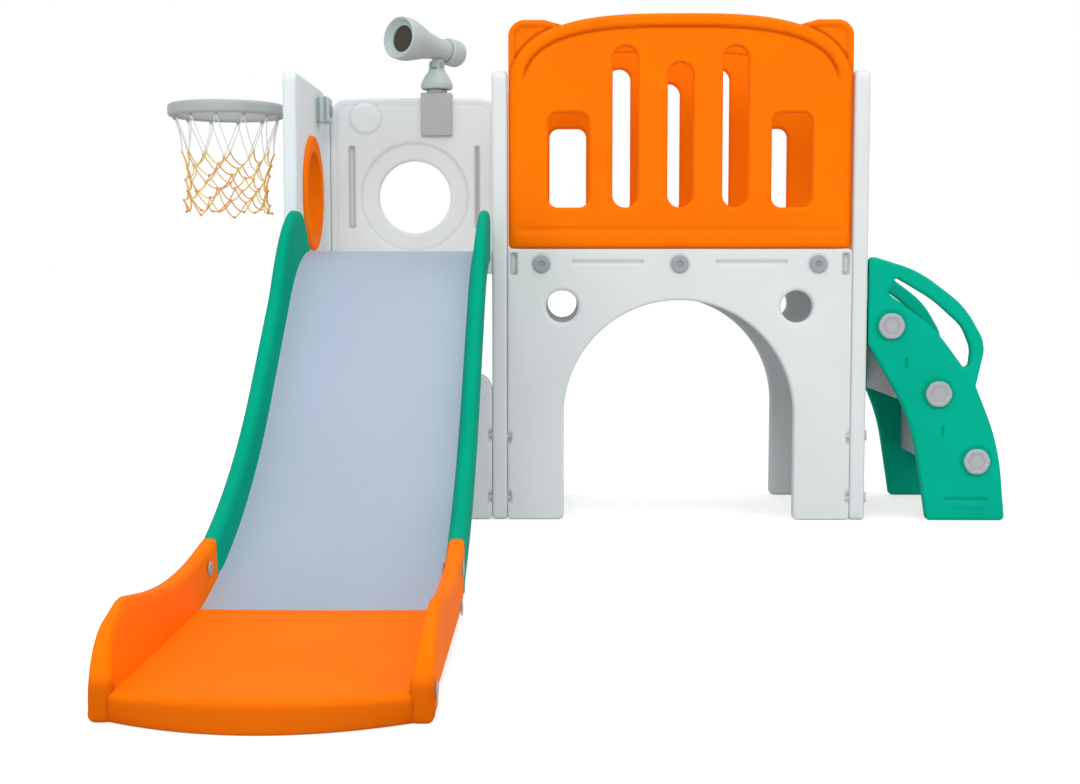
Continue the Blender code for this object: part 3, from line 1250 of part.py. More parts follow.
def build():
    clear_scene()
    root = empty("play_structure", (0, 0, 0))
    tower_left_panel()
    tower_back_panel()
    tower_low_panel()
    middle_frame()
    right_frame()
    tunnel_panel("tunnel_front_panel", FRONT_Y, -1)
    tunnel_panel("tunnel_back_panel", BACK_Y, 1)
    railing("railing_front", FRONT_Y, -1)
    railing("railing_back", BACK_Y, 1)
    tower = deck("tower_deck", LEFT_IN, MID_L, 0.0, bolted=False)
    cut(tower, box_tool("tower_deck_slide_groove", *bed_tongue(CLEAR)))
    deck("tunnel_deck", MID_R, RIGHT_L, WALL_T + CLEAR, bolted=True)
    panel_bolts()
    pegs()
    porthole_ring()
    slide_bed()
    slide_rails()
    slide_exit()
    slide_bolts()
    climber_side("climber_side_front", CLIMBER_T / 2)
    climber_side("climber_side_back", DEPTH - CLIMBER_T / 2)
    climber_steps()
    step_caps()
    telescope()
    hoop()
    for piece in bpy.data.objects:
        if piece.parent is None and piece is not root:
            piece.parent = root
    centre_on_floor(root)


build()
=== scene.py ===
"""Looks of the toddler play structure: moulded panels, slide, climber, hoop and telescope."""
import math

import bmesh
import bpy
import numpy as np
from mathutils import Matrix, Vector
from mathutils.geometry import delaunay_2d_cdt


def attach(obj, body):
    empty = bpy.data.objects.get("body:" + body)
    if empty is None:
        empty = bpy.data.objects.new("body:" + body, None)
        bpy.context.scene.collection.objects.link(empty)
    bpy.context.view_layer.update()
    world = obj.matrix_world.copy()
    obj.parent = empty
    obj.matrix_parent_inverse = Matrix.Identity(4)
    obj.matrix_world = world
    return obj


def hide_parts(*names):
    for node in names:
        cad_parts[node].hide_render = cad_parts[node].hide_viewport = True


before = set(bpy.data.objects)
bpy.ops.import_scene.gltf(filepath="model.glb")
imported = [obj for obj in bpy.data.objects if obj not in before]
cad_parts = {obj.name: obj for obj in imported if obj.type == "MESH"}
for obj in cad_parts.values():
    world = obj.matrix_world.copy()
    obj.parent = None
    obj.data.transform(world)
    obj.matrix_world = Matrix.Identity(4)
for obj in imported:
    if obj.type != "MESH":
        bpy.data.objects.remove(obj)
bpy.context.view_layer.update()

# Places are given from the middle frame's centre plane and the posts' front plane
HOME = np.array([-0.162635, 0.576143, 0.0])

CLEAR = 0.0003
DEPTH = 0.430
FRAME_T = 0.034
WALL_T = 0.030
FRAME_H = 0.998
DECK_Z = 0.600
MID_L, MID_R = -0.017, 0.017
RIGHT_L, RIGHT_R = 0.782, 0.816
LEFT_IN, LEFT_OUT = -0.449, -0.479
TOWER_X, TUNNEL_X = -0.233, 0.3995
FRONT_Y, BACK_Y = 0.015, 0.415
POST_W, LEG_W = 0.058, 0.070
ARCHWAY_TOP, ARCHWAY_R = 0.500, 0.145
PORT_Z, PORT_R = 0.7385, 0.0885
SIDES = (("left", -1), ("right", 1))
ENDS = (("front", 0.0, -1), ("back", DEPTH, 1))


# Outlines

def unit(vectors):
    """Each vector over its length."""
    return vectors / np.maximum(1e-9, np.linalg.norm(vectors, axis=-1, keepdims=True))


def arc(u, v, radius, start, end, steps):
    """Points of an arc: centre + radius * (cos, sin) of even angles."""
    angle = np.linspace(start, end, steps + 1)
    return np.stack([u + radius * np.cos(angle), v + radius * np.sin(angle)], axis=1)


def circle(u, v, radius, steps=96):
    """A full turn of arc, without its last point, which is its first."""
    return arc(u, v, radius, 0, 2 * math.pi, steps)[:-1]


def corner_arc(corner, before, after, radius, chord=None):
    """Arc that rounds a corner between two unit directions, in chords of a length or in five.

    Its centre is radius / sin(half the angle) away from the corner, on their middle line.
    """
    half = math.acos(np.clip(before @ after, -1, 1)) / 2
    centre = corner + unit(before + after) * radius / math.sin(half)
    first = corner + before * radius / math.tan(half) - centre
    start = math.atan2(first[1], first[0])
    turn = before[0] * after[1] - before[1] * after[0]
    sweep = (math.pi - 2 * half) * (-1 if turn > 0 else 1)
    steps = 5 if chord is None else max(6, int(abs(sweep) * radius / chord))
    return arc(*centre, radius, start, start + sweep, steps)


def rounded(corners, chord=0.0025):
    """Closed outline through (u, v, radius) corners, each an arc that meets both sides."""
    places = np.array(corners, float)
    before, after = (unit(np.roll(places[:, :2], step, axis=0) - places[:, :2])
                     for step in (1, -1))
    return np.concatenate([
        corner_arc(here[:2], b, a, here[2], chord) if here[2] > 0 else here[None, :2]
        for here, b, a in zip(places, before, after)])


def rounded_line(corners):
    """Open line through (r, h, radius) corners, each inner one an arc of five chords."""
    places = np.array(corners, float)
    almost_straight = 1.565
    line = [places[:1, :2]]
    for before, here, after in zip(places[:-2], places[1:-1], places[2:]):
        b, a = before[:2] - here[:2], after[:2] - here[:2]
        reach = min(np.linalg.norm(b), np.linalg.norm(a)) * 0.49
        b, a = unit(b), unit(a)
        half = math.acos(np.clip(b @ a, -1, 1)) / 2
        if here[2] <= 0 or half > almost_straight:
            line.append(here[None, :2])
        else:
            line.append(corner_arc(here[:2], b, a, min(here[2], reach * math.tan(half))))
    return np.concatenate(line + [places[-1:, :2]])


def box_outline(u0, u1, v0, v1, radius, top=None, chord=0.0025):
    """Rounded box between two values of u and of v; its top corners may have another radius."""
    top = radius if top is None else top
    return rounded([(u0, v0, radius), (u1, v0, radius), (u1, v1, top), (u0, v1, top)], chord)


def divided(outline, longest):
    """The closed outline, each side cut evenly into ceil(length / longest) pieces."""
    ends = np.roll(outline, -1, axis=0)
    length = np.linalg.norm(ends - outline, axis=1)
    keep = length > 1e-6
    return np.concatenate([
        p + (q - p) * np.linspace(0, 1, max(1, math.ceil(n / longest)), endpoint=False)[:, None]
        for p, q, n in zip(outline[keep], ends[keep], length[keep])])


def area(outline):
    """Signed area: half the sum of u * next v - v * next u."""
    u, v = outline.T
    return 0.5 * np.sum(u * np.roll(v, -1) - v * np.roll(u, -1))


def inward_normals(outline):
    """Mitred normals to an outline's left: the mean of two sides' normals over its share of one."""
    side = unit(np.roll(outline, -1, axis=0) - outline)
    left = np.stack([-side[:, 1], side[:, 0]], axis=1)
    mean = unit(left + np.roll(left, 1, axis=0))
    return mean / np.maximum(0.4, np.sum(mean * left, axis=1))[:, None]


def inside(points, outline):
    """Whether points lie in an outline: a ray to the right crosses an odd number of sides."""
    u, v = points[:, 0][:, None], points[:, 1][:, None]
    a, b = outline, np.roll(outline, -1, axis=0)
    spans = (a[:, 1] > v) != (b[:, 1] > v)
    rise = np.where(np.abs(b[:, 1] - a[:, 1]) < 1e-12, 1e-12, b[:, 1] - a[:, 1])
    crossing = a[:, 0] + (v - a[:, 1]) * (b[:, 0] - a[:, 0]) / rise
    return np.sum(spans & (u < crossing), axis=1) % 2 == 1


def within(points, loops):
    """Whether points lie in the first outline and in none of the others."""
    keep = inside(points, loops[0])
    for hole in loops[1:]:
        keep &= ~inside(points, hole)
    return keep


def box_distance(u, v, cu, cv, half_u, half_v, radius):
    """Signed distance to a rounded box, negative inside: to its inner box, less the radius."""
    qu = np.abs(u - cu) - half_u + radius
    qv = np.abs(v - cv) - half_v + radius
    outer = np.hypot(np.maximum(qu, 0), np.maximum(qv, 0))
    return outer + np.minimum(np.maximum(qu, qv), 0) - radius


def path_distance(u, v, path, closed=False):
    """Distance to a path: the least of those to each side's nearest point p + t * (q - p)."""
    if closed:
        path = np.concatenate([path, path[:1]])
    along = path[1:] - path[:-1]
    span = np.maximum(1e-12, np.sum(along * along, axis=1))
    best = np.full(u.shape, 1e9)
    for (p, q), (du, dv), length in zip(path[:-1], along, span):
        t = np.clip(((u - p) * du + (v - q) * dv) / length, 0, 1)
        best = np.minimum(best, np.hypot(u - p - t * du, v - q - t * dv))
    return best


def fade(distance, width):
    """Smooth step, t * t * (3 - 2 * t), from 1 inside to 0 outside over a width at the edge."""
    t = np.clip(0.5 - distance / width, 0, 1)
    return t * t * (3 - 2 * t)


def groove(distance, width):
    """Bell curve of a pressed line: exp(-(d / w)^2)."""
    return np.exp(-(distance / width) ** 2)


# Meshes

EDGE_RINGS = 7
LONGEST_SIDE = 0.012
FACE_INSET = 1.15


def place(points, plane):
    """World places of (u, v, w) points in a plane: XZ faces -Y, YZ faces +X, XY faces +Z."""
    u, v, w = points.T
    axes = {"XZ": (u, -w, v), "YZ": (w, u, v), "XY": (u, v, w)}[plane]
    return np.stack(axes, axis=1) + HOME


def new_object(name, data):
    """An object of this data, linked to the scene."""
    piece = bpy.data.objects.new(name, data)
    bpy.context.scene.collection.objects.link(piece)
    return piece


def mesh_object(name, points, faces, material):
    """A smooth object of these world points and faces, at the origin."""
    mesh = bpy.data.meshes.new(name)
    mesh.from_pydata(points.tolist(), [], faces)
    mesh.polygons.foreach_set("use_smooth", np.full(len(mesh.polygons), True))
    mesh.materials.append(material)
    mesh.update()
    return new_object(name, mesh)


def grid_faces(rows, columns, close_rows=False, close_columns=False):
    """Quads of a grid of points numbered row by row."""
    i = np.arange(rows if close_rows else rows - 1)
    j = np.arange(columns if close_columns else columns - 1)
    i, j = np.meshgrid(i, j, indexing="ij")
    row, below, right = i * columns, (i + 1) % rows * columns, (j + 1) % columns
    return np.stack([row + j, row + right, below + right, below + j], axis=-1).reshape(-1, 4)


def outward(piece):
    """Welds a piece's mesh and turns its faces outward."""
    work = bmesh.new()
    work.from_mesh(piece.data)
    bmesh.ops.remove_doubles(work, verts=work.verts, dist=1e-6)
    bmesh.ops.recalc_face_normals(work, faces=work.faces)
    work.to_mesh(piece.data)
    work.free()
    return piece


def from_home(name, points, faces, material):
    """A welded piece whose points are given from home."""
    return outward(mesh_object(name, points.reshape(-1, 3) + HOME, faces, material))


def coordinates(piece):
    """Arrays x, y, z of a piece's points, from home."""
    flat = np.empty(len(piece.data.vertices) * 3)
    piece.data.vertices.foreach_get("co", flat)
    return (flat.reshape(-1, 3) - HOME).T


def moved(piece, change):
    """The piece, its points put through a function of the arrays x, y, z."""
    points = np.column_stack(change(*coordinates(piece))) + HOME
    piece.data.vertices.foreach_set("co", points.ravel())
    piece.data.update()
    return piece


def filled_face(loops, spacing):
    """Triangles that fill the first outline but not the others, over a triangular lattice.

    The lattice's points keep half a spacing from every outline.
    """
    corners = np.concatenate(loops)
    low, high = loops[0].min(axis=0), loops[0].max(axis=0)
    u = np.arange(low[0], high[0], spacing)
    v = np.arange(low[1], high[1], spacing * 0.866)
    grid_u, grid_v = np.meshgrid(u, v, indexing="xy")
    grid_u = grid_u + (np.arange(len(v)) % 2 * spacing / 2)[:, None]
    lattice = np.stack([grid_u.ravel(), grid_v.ravel()], axis=1)
    lattice = lattice[within(lattice, loops)]
    near = np.min([path_distance(*lattice.T, loop, closed=True) for loop in loops], axis=0)
    lattice = lattice[near > spacing * 0.5]
    sides, start = [], 0
    for loop in loops:
        k = np.arange(len(loop))
        sides += np.stack([start + k, start + (k + 1) % len(loop)], axis=1).tolist()
        start += len(loop)
    every = [Vector(point) for point in np.concatenate([corners, lattice])]
    flat, _, triangles, origin, _, _ = delaunay_2d_cdt(every, sides, [], 0, 1e-7)
    flat, triangles = np.array(flat), np.array(triangles)
    good = within(flat[triangles].mean(axis=1), loops)
    return flat, triangles[good], np.array([o[0] if o else -1 for o in origin])


def hollow_of(relief, u, v):
    """Depth of a face under the mean of eight heights 8 mm away; 4 mm counts as 1. It sets how much
    painted shade a point gets.
    """
    angle = np.arange(8) * math.pi / 4
    around = sum(relief(u + 0.008 * math.cos(a), v + 0.008 * math.sin(a)) for a in angle) / 8
    return np.clip((around - relief(u, v)) / 0.004, 0, 1)


def give_painted_shade(piece, hollow):
    """Gives the piece's points their hollow values: painted shade that the material darkens the
    colour by.
    """
    marks = piece.data.attributes
    marks = marks.get("hollow") or marks.new("hollow", "FLOAT", "POINT")
    marks.data.foreach_set("value", hollow)
    return piece


def panel(name, loops, plane, level, thickness, edge, material, front=None, back=None,
          spacing=0.012):
    """A moulded panel: quarter-round edges along each outline, and two faces that fill them.

    Height over the middle plane at a distance d inside the outline is half the thickness less
    edge - sqrt(edge^2 - (edge - d)^2), times 1 + front(u, v) or back(u, v) over half the thickness.
    """
    loops = [divided(loop if (area(loop) > 0) == (k == 0) else loop[::-1], LONGEST_SIDE)
             for k, loop in enumerate(loops)]
    turn = np.linspace(0, math.pi / 2, EDGE_RINGS)
    inset = np.append(edge * (1 - np.cos(turn)), edge * FACE_INSET)
    height = np.append(thickness / 2 - edge + edge * np.sin(turn), thickness / 2)
    inset, height = np.append(inset[::-1], inset), np.append(height[::-1], -height)
    points, faces, rims = [], [], []
    count = 0
    for loop in loops:
        normal = inward_normals(loop)
        points += [np.column_stack([loop + normal * d, np.full(len(loop), h)])
                   for d, h in zip(inset, height)]
        faces += (grid_faces(len(inset), len(loop), close_columns=True) + count).tolist()
        rims.append((loop + normal * inset[0], count, count + (len(inset) - 1) * len(loop)))
        count += len(inset) * len(loop)
    flat, triangles, origin = filled_face([loop for loop, _, _ in rims], spacing)
    rim_count = sum(len(loop) for loop, _, _ in rims)
    for sign, which in ((1, 1), (-1, 2)):
        lookup = np.concatenate([np.arange(len(rim[0])) + rim[which] for rim in rims])
        on_rim = (origin >= 0) & (origin < rim_count)
        index = np.where(on_rim, lookup[np.clip(origin, 0, rim_count - 1)], -1)
        fresh = index < 0
        index[fresh] = count + np.arange(fresh.sum())
        points.append(np.column_stack([flat[fresh], np.full(fresh.sum(), sign * thickness / 2)]))
        count += int(fresh.sum())
        faces += index[triangles][:, ::sign].tolist()
    u, v, w = np.concatenate(points).T
    # Painted shade: each point's hollow value, its depth under its surroundings, darkens creases
    # and pockets in the material
    hollow = np.zeros(len(w))
    for relief, side in ((front, 1), (back, -1)):
        if relief is not None:
            share = np.clip(side * w / (thickness / 2), 0, 1)
            hollow += hollow_of(relief, u, v) * (share > 0.5)
            w = w + side * relief(u, v) * share
    points = place(np.column_stack([u, v, w + (-level if plane == "XZ" else level)]), plane)
    return outward(give_painted_shade(mesh_object(name, points, faces, material), hollow))


def turned(name, profile, origin, axis, material, steps=96, closed=False, flutes=0, depth=0.0):
    """A turned piece: each (radius, height) of the profile goes round the axis.

    With flutes, the radius is multiplied by 1 + depth * cos(flutes * angle).
    """
    axis = unit(np.array(axis, float))
    e1 = unit(np.cross([0, 0, 1.0] if abs(axis[2]) < 0.9 else [1.0, 0, 0], axis))
    e2 = np.cross(axis, e1)
    angle = np.arange(steps) * 2 * math.pi / steps
    r, h = profile.T
    spread = r[:, None] * (1 + depth * np.cos(flutes * angle) if flutes else np.ones(steps))
    points = (np.array(origin, float) + h[:, None, None] * axis + spread[..., None]
              * (np.cos(angle)[:, None] * e1 + np.sin(angle)[:, None] * e2))
    faces = grid_faces(len(r), steps, close_rows=closed, close_columns=True)
    return from_home(name, points, faces.tolist(), material)


def closed_grid(name, points, material):
    """A piece whose rows of points are closed sections, with flat ends."""
    rows, columns = points.shape[:2]
    faces = grid_faces(rows, columns, close_columns=True).tolist()
    faces += [list(range(columns)), [(rows - 1) * columns + k for k in range(columns)]]
    return from_home(name, points, faces, material)


def tubes(name, paths, radius, sides, material):
    """Round strands along many paths of one length: centre + radius * (cos a * n + sin a * b)."""
    forward = unit(np.gradient(paths, axis=1))
    side = unit(np.cross(forward, [0, 0, 1.0]))
    lift = np.cross(side, forward)
    angle = (np.arange(sides) * 2 * math.pi / sides)[:, None]
    points = (paths[:, :, None] + radius * np.cos(angle) * side[:, :, None]
              + radius * np.sin(angle) * lift[:, :, None])
    count, length = paths.shape[:2]
    one = grid_faces(length, sides, close_columns=True)
    ends = np.array([np.arange(sides)[::-1], (length - 1) * sides + np.arange(sides)])
    faces = []
    for start in range(0, count * length * sides, length * sides):
        faces += (one + start).tolist() + (ends + start).tolist()
    return from_home(name, points, faces, material)


def worn(piece, slot, *nodes, body="structure"):
    """Gives a finished piece its body and hides the nodes that it replaces; its slot is not used.
    """
    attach(piece, body)
    if nodes:
        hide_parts(*nodes)


# Materials

def set_inputs(node, values, sources):
    """Sets some inputs of a node, and links others from the outputs that feed them."""
    for name, value in values.items():
        node.inputs[name].default_value = value
    for name, source in sources.items():
        node.id_data.links.new(source, node.inputs[name])


def add_node(tree, kind, output, values={}, sources={}, **settings):
    """The named output of a new node with these settings and inputs."""
    node = tree.nodes.new("ShaderNode" + kind)
    for name, setting in settings.items():
        setattr(node, name, setting)
    set_inputs(node, values, sources)
    return node.outputs[output]


def ranged(tree, source, limits):
    """A value moved from one range to another."""
    return add_node(tree, "MapRange", "Result", limits, {"Value": source})


def mixed(tree, first, second, share):
    """A mix of two colours, the first of which may be another node's output."""
    second = {"B": (*second, 1)}
    if isinstance(first, tuple):
        return add_node(tree, "Mix", "Result", {"A": (*first, 1), **second}, {"Factor": share},
                        data_type="RGBA")
    return add_node(tree, "Mix", "Result", second, {"A": first, "Factor": share}, data_type="RGBA")


def new_material(name):
    """A material, its node tree and its shader."""
    finish = bpy.data.materials.new(name)
    finish.use_nodes = True
    return finish, finish.node_tree, finish.node_tree.nodes["Principled BSDF"]


def plastic(name, colour, shade, roughness, grain=0.00012, cloud=5.0, gloss=0.25):
    """Moulded plastic: cloudy colour, a pebbled grain, and scuffs that change its gloss.

    The attribute hollow, where a piece has it, paints shade into the colour: darker in pressed
    lines, pockets and the other places given painted shade.
    """
    finish, tree, shader = new_material(name)
    where = {"Vector": add_node(tree, "TexCoord", "Object")}
    clouds = add_node(tree, "TexNoise", "Fac", {"Scale": cloud, "Detail": 3.0}, where)
    scuffs = add_node(tree, "TexNoise", "Fac", {"Scale": 38.0, "Detail": 8.0, "Roughness": 0.72},
                      where)
    pebbles = add_node(tree, "TexNoise", "Fac", {"Scale": 900.0, "Detail": 2.0}, where)
    cloudy = ranged(tree, clouds, {"From Min": 0.35, "From Max": 0.75})
    scuffed = ranged(tree, scuffs, {"From Min": 0.60, "From Max": 0.78})
    hollow = add_node(tree, "Attribute", "Fac", attribute_name="hollow")
    painted_crease_shade = ranged(tree, hollow, {"To Max": 0.85})
    colours = mixed(tree, colour, shade, cloudy)
    colours = mixed(tree, colours, [0.5 * c + 0.5 * s for c, s in zip(colour, shade)], scuffed)
    # Painted shade: the colour goes towards 0.55 of the shade colour where the hollow attribute is
    # high
    colours = mixed(tree, colours, [0.55 * s for s in shade], painted_crease_shade)
    dulled = ranged(tree, scuffed, {"To Min": roughness, "To Max": min(1.0, roughness + 0.16)})
    bump = add_node(tree, "Bump", "Normal", {"Strength": 0.35, "Distance": grain},
                    {"Height": pebbles})
    set_inputs(shader, {"IOR": 1.46, "Specular IOR Level": gloss},
               {"Base Color": colours, "Roughness": dulled, "Normal": bump})
    return finish


def braided(name, colour, shade):
    """Net cord: a fine plait across the strand, from a wave on the object's height."""
    finish, tree, shader = new_material(name)
    where = {"Vector": add_node(tree, "TexCoord", "Object")}
    plait = add_node(tree, "TexWave", "Fac", {"Scale": 260.0, "Distortion": 1.5}, where,
                     bands_direction="DIAGONAL")
    bump = add_node(tree, "Bump", "Normal", {"Distance": 0.0004}, {"Height": plait})
    set_inputs(shader, {"Roughness": 0.85, "Sheen Weight": 0.3},
               {"Base Color": mixed(tree, shade, colour, plait), "Normal": bump})
    return finish


WHITE = plastic("white_plastic", (0.72, 0.755, 0.765), (0.68, 0.72, 0.725), 0.42)
# Painted light: a brighter and bluer copy of the white plastic that lifts the tower's left and back
# walls, where the lamps light them less
BRIGHTENED_WALL_WHITE = plastic("brightened_wall_white_plastic", (0.745, 0.82, 0.84), (0.71, 0.785, 0.80), 0.45)
ORANGE = plastic("orange_plastic", (0.99, 0.190, 0.001), (0.93, 0.165, 0.001), 0.58, gloss=0.03)
GREEN = plastic("green_plastic", (0.0, 0.44, 0.29), (0.0, 0.39, 0.25), 0.56, gloss=0.04)
RAIL_GREEN = plastic("rail_green_plastic", (0.0, 0.345, 0.215), (0.0, 0.305, 0.19), 0.62,
                     gloss=0.02)
BED = plastic("bed_grey_plastic", (0.362, 0.434, 0.538), (0.335, 0.406, 0.505), 0.34, cloud=3.0)
GREY = plastic("grey_plastic", (0.445, 0.475, 0.48), (0.395, 0.425, 0.43), 0.40)
SCOPE = plastic("telescope_grey_plastic", (0.485, 0.575, 0.575), (0.44, 0.525, 0.525), 0.42)
STEP = plastic("step_grey_plastic", (0.44, 0.45, 0.475), (0.39, 0.40, 0.42), 0.42)
BOLT = plastic("bolt_grey_plastic", (0.36, 0.395, 0.425), (0.30, 0.34, 0.37), 0.34)
PEG = plastic("peg_plastic", (0.66, 0.69, 0.69), (0.60, 0.63, 0.63), 0.5)
LENS = plastic("dark_lens", (0.075, 0.066, 0.050), (0.045, 0.040, 0.030), 0.14, grain=0.00002)
CORD_WHITE = braided("white_net_cord", (0.95, 0.95, 0.96), (0.78, 0.78, 0.80))
CORD_ORANGE = braided("orange_net_cord", (1.0, 0.45, 0.10), (0.92, 0.33, 0.06))
CORD_YELLOW = braided("yellow_net_cord", (1.0, 0.78, 0.20), (0.90, 0.62, 0.12))


# Marks that are pressed into faces: 1 in the mark, 0 outside

PRESSED = 0.009
BOARD_EDGE = 0.006
PRESS_SPACING = 0.0035


def box_mark(u, v, cu, cv, half_u, half_v, radius, width=0.003):
    """A rounded box: fades its signed distance."""
    return fade(box_distance(u, v, cu, cv, half_u, half_v, radius), width)


def round_mark(u, v, cu, cv, radius, width=0.003):
    """A disc: fades the distance from its centre, less its radius."""
    return fade(np.hypot(u - cu, v - cv) - radius, width)


# Frames and walls

FOOT_R, CORNER_R, SILL_R = 0.010, 0.024, 0.050
FRAME_EDGE = 0.008
ARCHWAY = [(DEPTH, 0, FOOT_R), (DEPTH - LEG_W, 0, FOOT_R),
           (DEPTH - LEG_W, ARCHWAY_TOP, ARCHWAY_R), (LEG_W, ARCHWAY_TOP, ARCHWAY_R),
           (LEG_W, 0, FOOT_R)]
frame_outline = rounded([
    (0, 0, FOOT_R), (0, FRAME_H, CORNER_R), (POST_W, FRAME_H, CORNER_R),
    (POST_W, DECK_Z, SILL_R), (DEPTH - POST_W, DECK_Z, SILL_R),
    (DEPTH - POST_W, FRAME_H, CORNER_R), (DEPTH, FRAME_H, CORNER_R)] + ARCHWAY)
for label, x in (("middle", 0.0), ("right", RIGHT_L + FRAME_T / 2)):
    worn(panel(f"moulded_{label}_frame", [frame_outline], "YZ", x, FRAME_T, FRAME_EDGE, WHITE),
         "white_panels", f"{label}_frame")

RING_HOLE_R, RING_SLEEVE_T = 0.096, 0.008
wall_outline = rounded([(0, 0, FOOT_R), (0, FRAME_H, CORNER_R), (DEPTH, FRAME_H, CORNER_R)]
                       + ARCHWAY)
wall_hole = circle(DEPTH / 2, PORT_Z, RING_HOLE_R + RING_SLEEVE_T + CLEAR)
worn(panel("moulded_left_wall", [wall_outline, wall_hole], "YZ", LEFT_IN - WALL_T / 2, WALL_T,
           FRAME_EDGE, BRIGHTENED_WALL_WHITE), "white_panels", "tower_left_panel")

BACK_TOP, BACK_R = 0.980, 0.045
CORNER_POST_T, CORNER_POST_EDGE = 0.032, 0.003
POST_X = LEFT_IN + CORNER_POST_T / 2
BACK_X = (POST_X + MID_L) / 2
BACK_LEFT, BACK_RIGHT = POST_X + CLEAR, MID_L - CLEAR
corner_post = box_outline(DEPTH - WALL_T, DEPTH - 0.001, 0.001, BACK_TOP - BACK_R,
                          CORNER_POST_EDGE)
worn(panel("wall_corner_post", [corner_post], "YZ", LEFT_IN, CORNER_POST_T, CORNER_POST_EDGE,
           BRIGHTENED_WALL_WHITE), "white_panels")

SEAT_R = 0.134
GROOVE_DX, GROOVE_Z, GROOVE_HALF_H = 0.155, 0.762, 0.101
BOSS_X, BOSS_Z, BOSS_R = BACK_X - 0.120, 0.931, 0.036


def back_wall_relief(u, v):
    """Sum of marks: seat round the porthole, two upright grooves, round boss, pressed border."""
    lift = -0.0035 * round_mark(u, v, BACK_X, PORT_Z, SEAT_R, 0.004)
    for side, half in ((-1, 0.0078), (1, 0.0056)):
        lift -= PRESSED * box_mark(u, v, BACK_X + side * GROOVE_DX, GROOVE_Z, half, GROOVE_HALF_H,
                                   half - 0.001)
    ring = np.hypot(u - BOSS_X, v - BOSS_Z) - BOSS_R
    border = box_distance(u, v, BACK_X, 0.765, 0.190, 0.198, 0.034)
    lift += 0.0022 * fade(ring, 0.003) - 0.0008 * groove(ring - 0.004, 0.002)
    return lift - 0.0009 * groove(border, 0.0022)


back_outline = box_outline(BACK_LEFT, BACK_RIGHT, 0.550, BACK_TOP, FOOT_R, BACK_R)
worn(panel("moulded_back_wall", [back_outline, circle(BACK_X, PORT_Z, PORT_R)], "XZ", BACK_Y,
           WALL_T, 0.007, BRIGHTENED_WALL_WHITE, front=back_wall_relief, spacing=PRESS_SPACING),
     "white_panels", "tower_back_panel")

LOW_TOP, LOW_R = 0.330, 0.040
low_outline = box_outline(LEFT_IN + CLEAR, MID_L - CLEAR, 0, LOW_TOP, FOOT_R, LOW_R)
SEAM_SLOT_ZS = (0.187, 0.048)


def seam_slots(u, v, x):
    """Small slots beside a post, where the pegs lock: a sum of box marks."""
    return -PRESSED * sum(box_mark(u, v, x, z, 0.0045, 0.0105, 0.003, 0.004) for z in SEAM_SLOT_ZS)


worn(panel("moulded_low_board", [low_outline], "XZ", FRONT_Y, WALL_T, BOARD_EDGE, WHITE,
           front=lambda u, v: seam_slots(u, v, MID_L - 0.0045), spacing=0.004),
     "white_panels", "tower_low_panel")


# Tunnel panels

PANEL_TOP = 0.606
PANEL_LEFT, PANEL_RIGHT = MID_R + CLEAR, RIGHT_L - CLEAR
ARCH_R, ARCH_Z, ARCH_FOOT_R = 0.2565, 0.2355, 0.012
BOLT_XS = [TUNNEL_X - 0.3065, TUNNEL_X, TUNNEL_X + 0.3065]
BOLT_Z = 0.572
PEEP_DX, PEEP_Z, PEEP_R = 0.2605, 0.478, 0.0355
LINE_DX, LINE_Z, LINE_HALF_L = 0.159, 0.577, 0.080
POCKET_DX, SEAM_DX = 0.3685, 0.3780
# Two arcs that would meet stay this far apart
HAIR = 1e-5


def tunnel_relief(u, v):
    """Sum of marks: lines between the bolts, dishes round bolts and peep holes, post pockets."""
    lift = np.zeros(u.shape)
    for side in (-1, 1):
        lift -= 0.0035 * box_mark(u, v, TUNNEL_X + side * LINE_DX, LINE_Z, LINE_HALF_L, 0.0035,
                                  0.003)
        lift -= 0.0012 * round_mark(u, v, TUNNEL_X + side * PEEP_DX, PEEP_Z, PEEP_R + 0.006, 0.004)
        lift -= PRESSED * box_mark(u, v, TUNNEL_X + side * POCKET_DX, BOLT_Z, 0.0080, 0.024, 0.003)
        lift += seam_slots(u, v, TUNNEL_X + side * SEAM_DX)
    return lift - 0.0012 * sum(round_mark(u, v, x, BOLT_Z, 0.022) for x in BOLT_XS)


arch_left, arch_right = TUNNEL_X - ARCH_R, TUNNEL_X + ARCH_R
tunnel_outline = rounded([
    (PANEL_LEFT, 0, FOOT_R), (arch_left, 0, ARCH_FOOT_R),
    (arch_left, ARCH_Z + ARCH_R, ARCH_R - HAIR), (arch_right, ARCH_Z + ARCH_R, ARCH_R - HAIR),
    (arch_right, 0, ARCH_FOOT_R), (PANEL_RIGHT, 0, FOOT_R),
    (PANEL_RIGHT, PANEL_TOP, FOOT_R), (PANEL_LEFT, PANEL_TOP, FOOT_R)])
peep_holes = [circle(TUNNEL_X + side * PEEP_DX, PEEP_Z, PEEP_R, 64) for side in (-1, 1)]
for label, y in (("front", FRONT_Y), ("back", BACK_Y)):
    worn(panel(f"moulded_{label}_arch", [tunnel_outline] + peep_holes, "XZ", y, WALL_T, BOARD_EDGE,
               WHITE, spacing=PRESS_SPACING, **{label: tunnel_relief}),
         "white_panels", f"tunnel_{label}_panel")


# Railings

RAIL_T, RAIL_TOP, RAIL_BOW, RAIL_POWER = 0.026, 1.121, 0.200, 3.0
EAR_TOP, EAR_R, EAR_DX = 1.107, 0.036, 0.300
RAIL_HALF = (RIGHT_L - MID_R) / 2 - 0.0028
OPENING_FOOT = 0.697
OPENINGS = [(-0.247, 0.090, 0.905, 0.022), (0.247, 0.090, 0.905, 0.022),
            (-0.1215, 0.056, 1.050, 0.028), (0.1215, 0.056, 1.050, 0.028),
            (0.0, 0.056, 1.014, 0.028)]
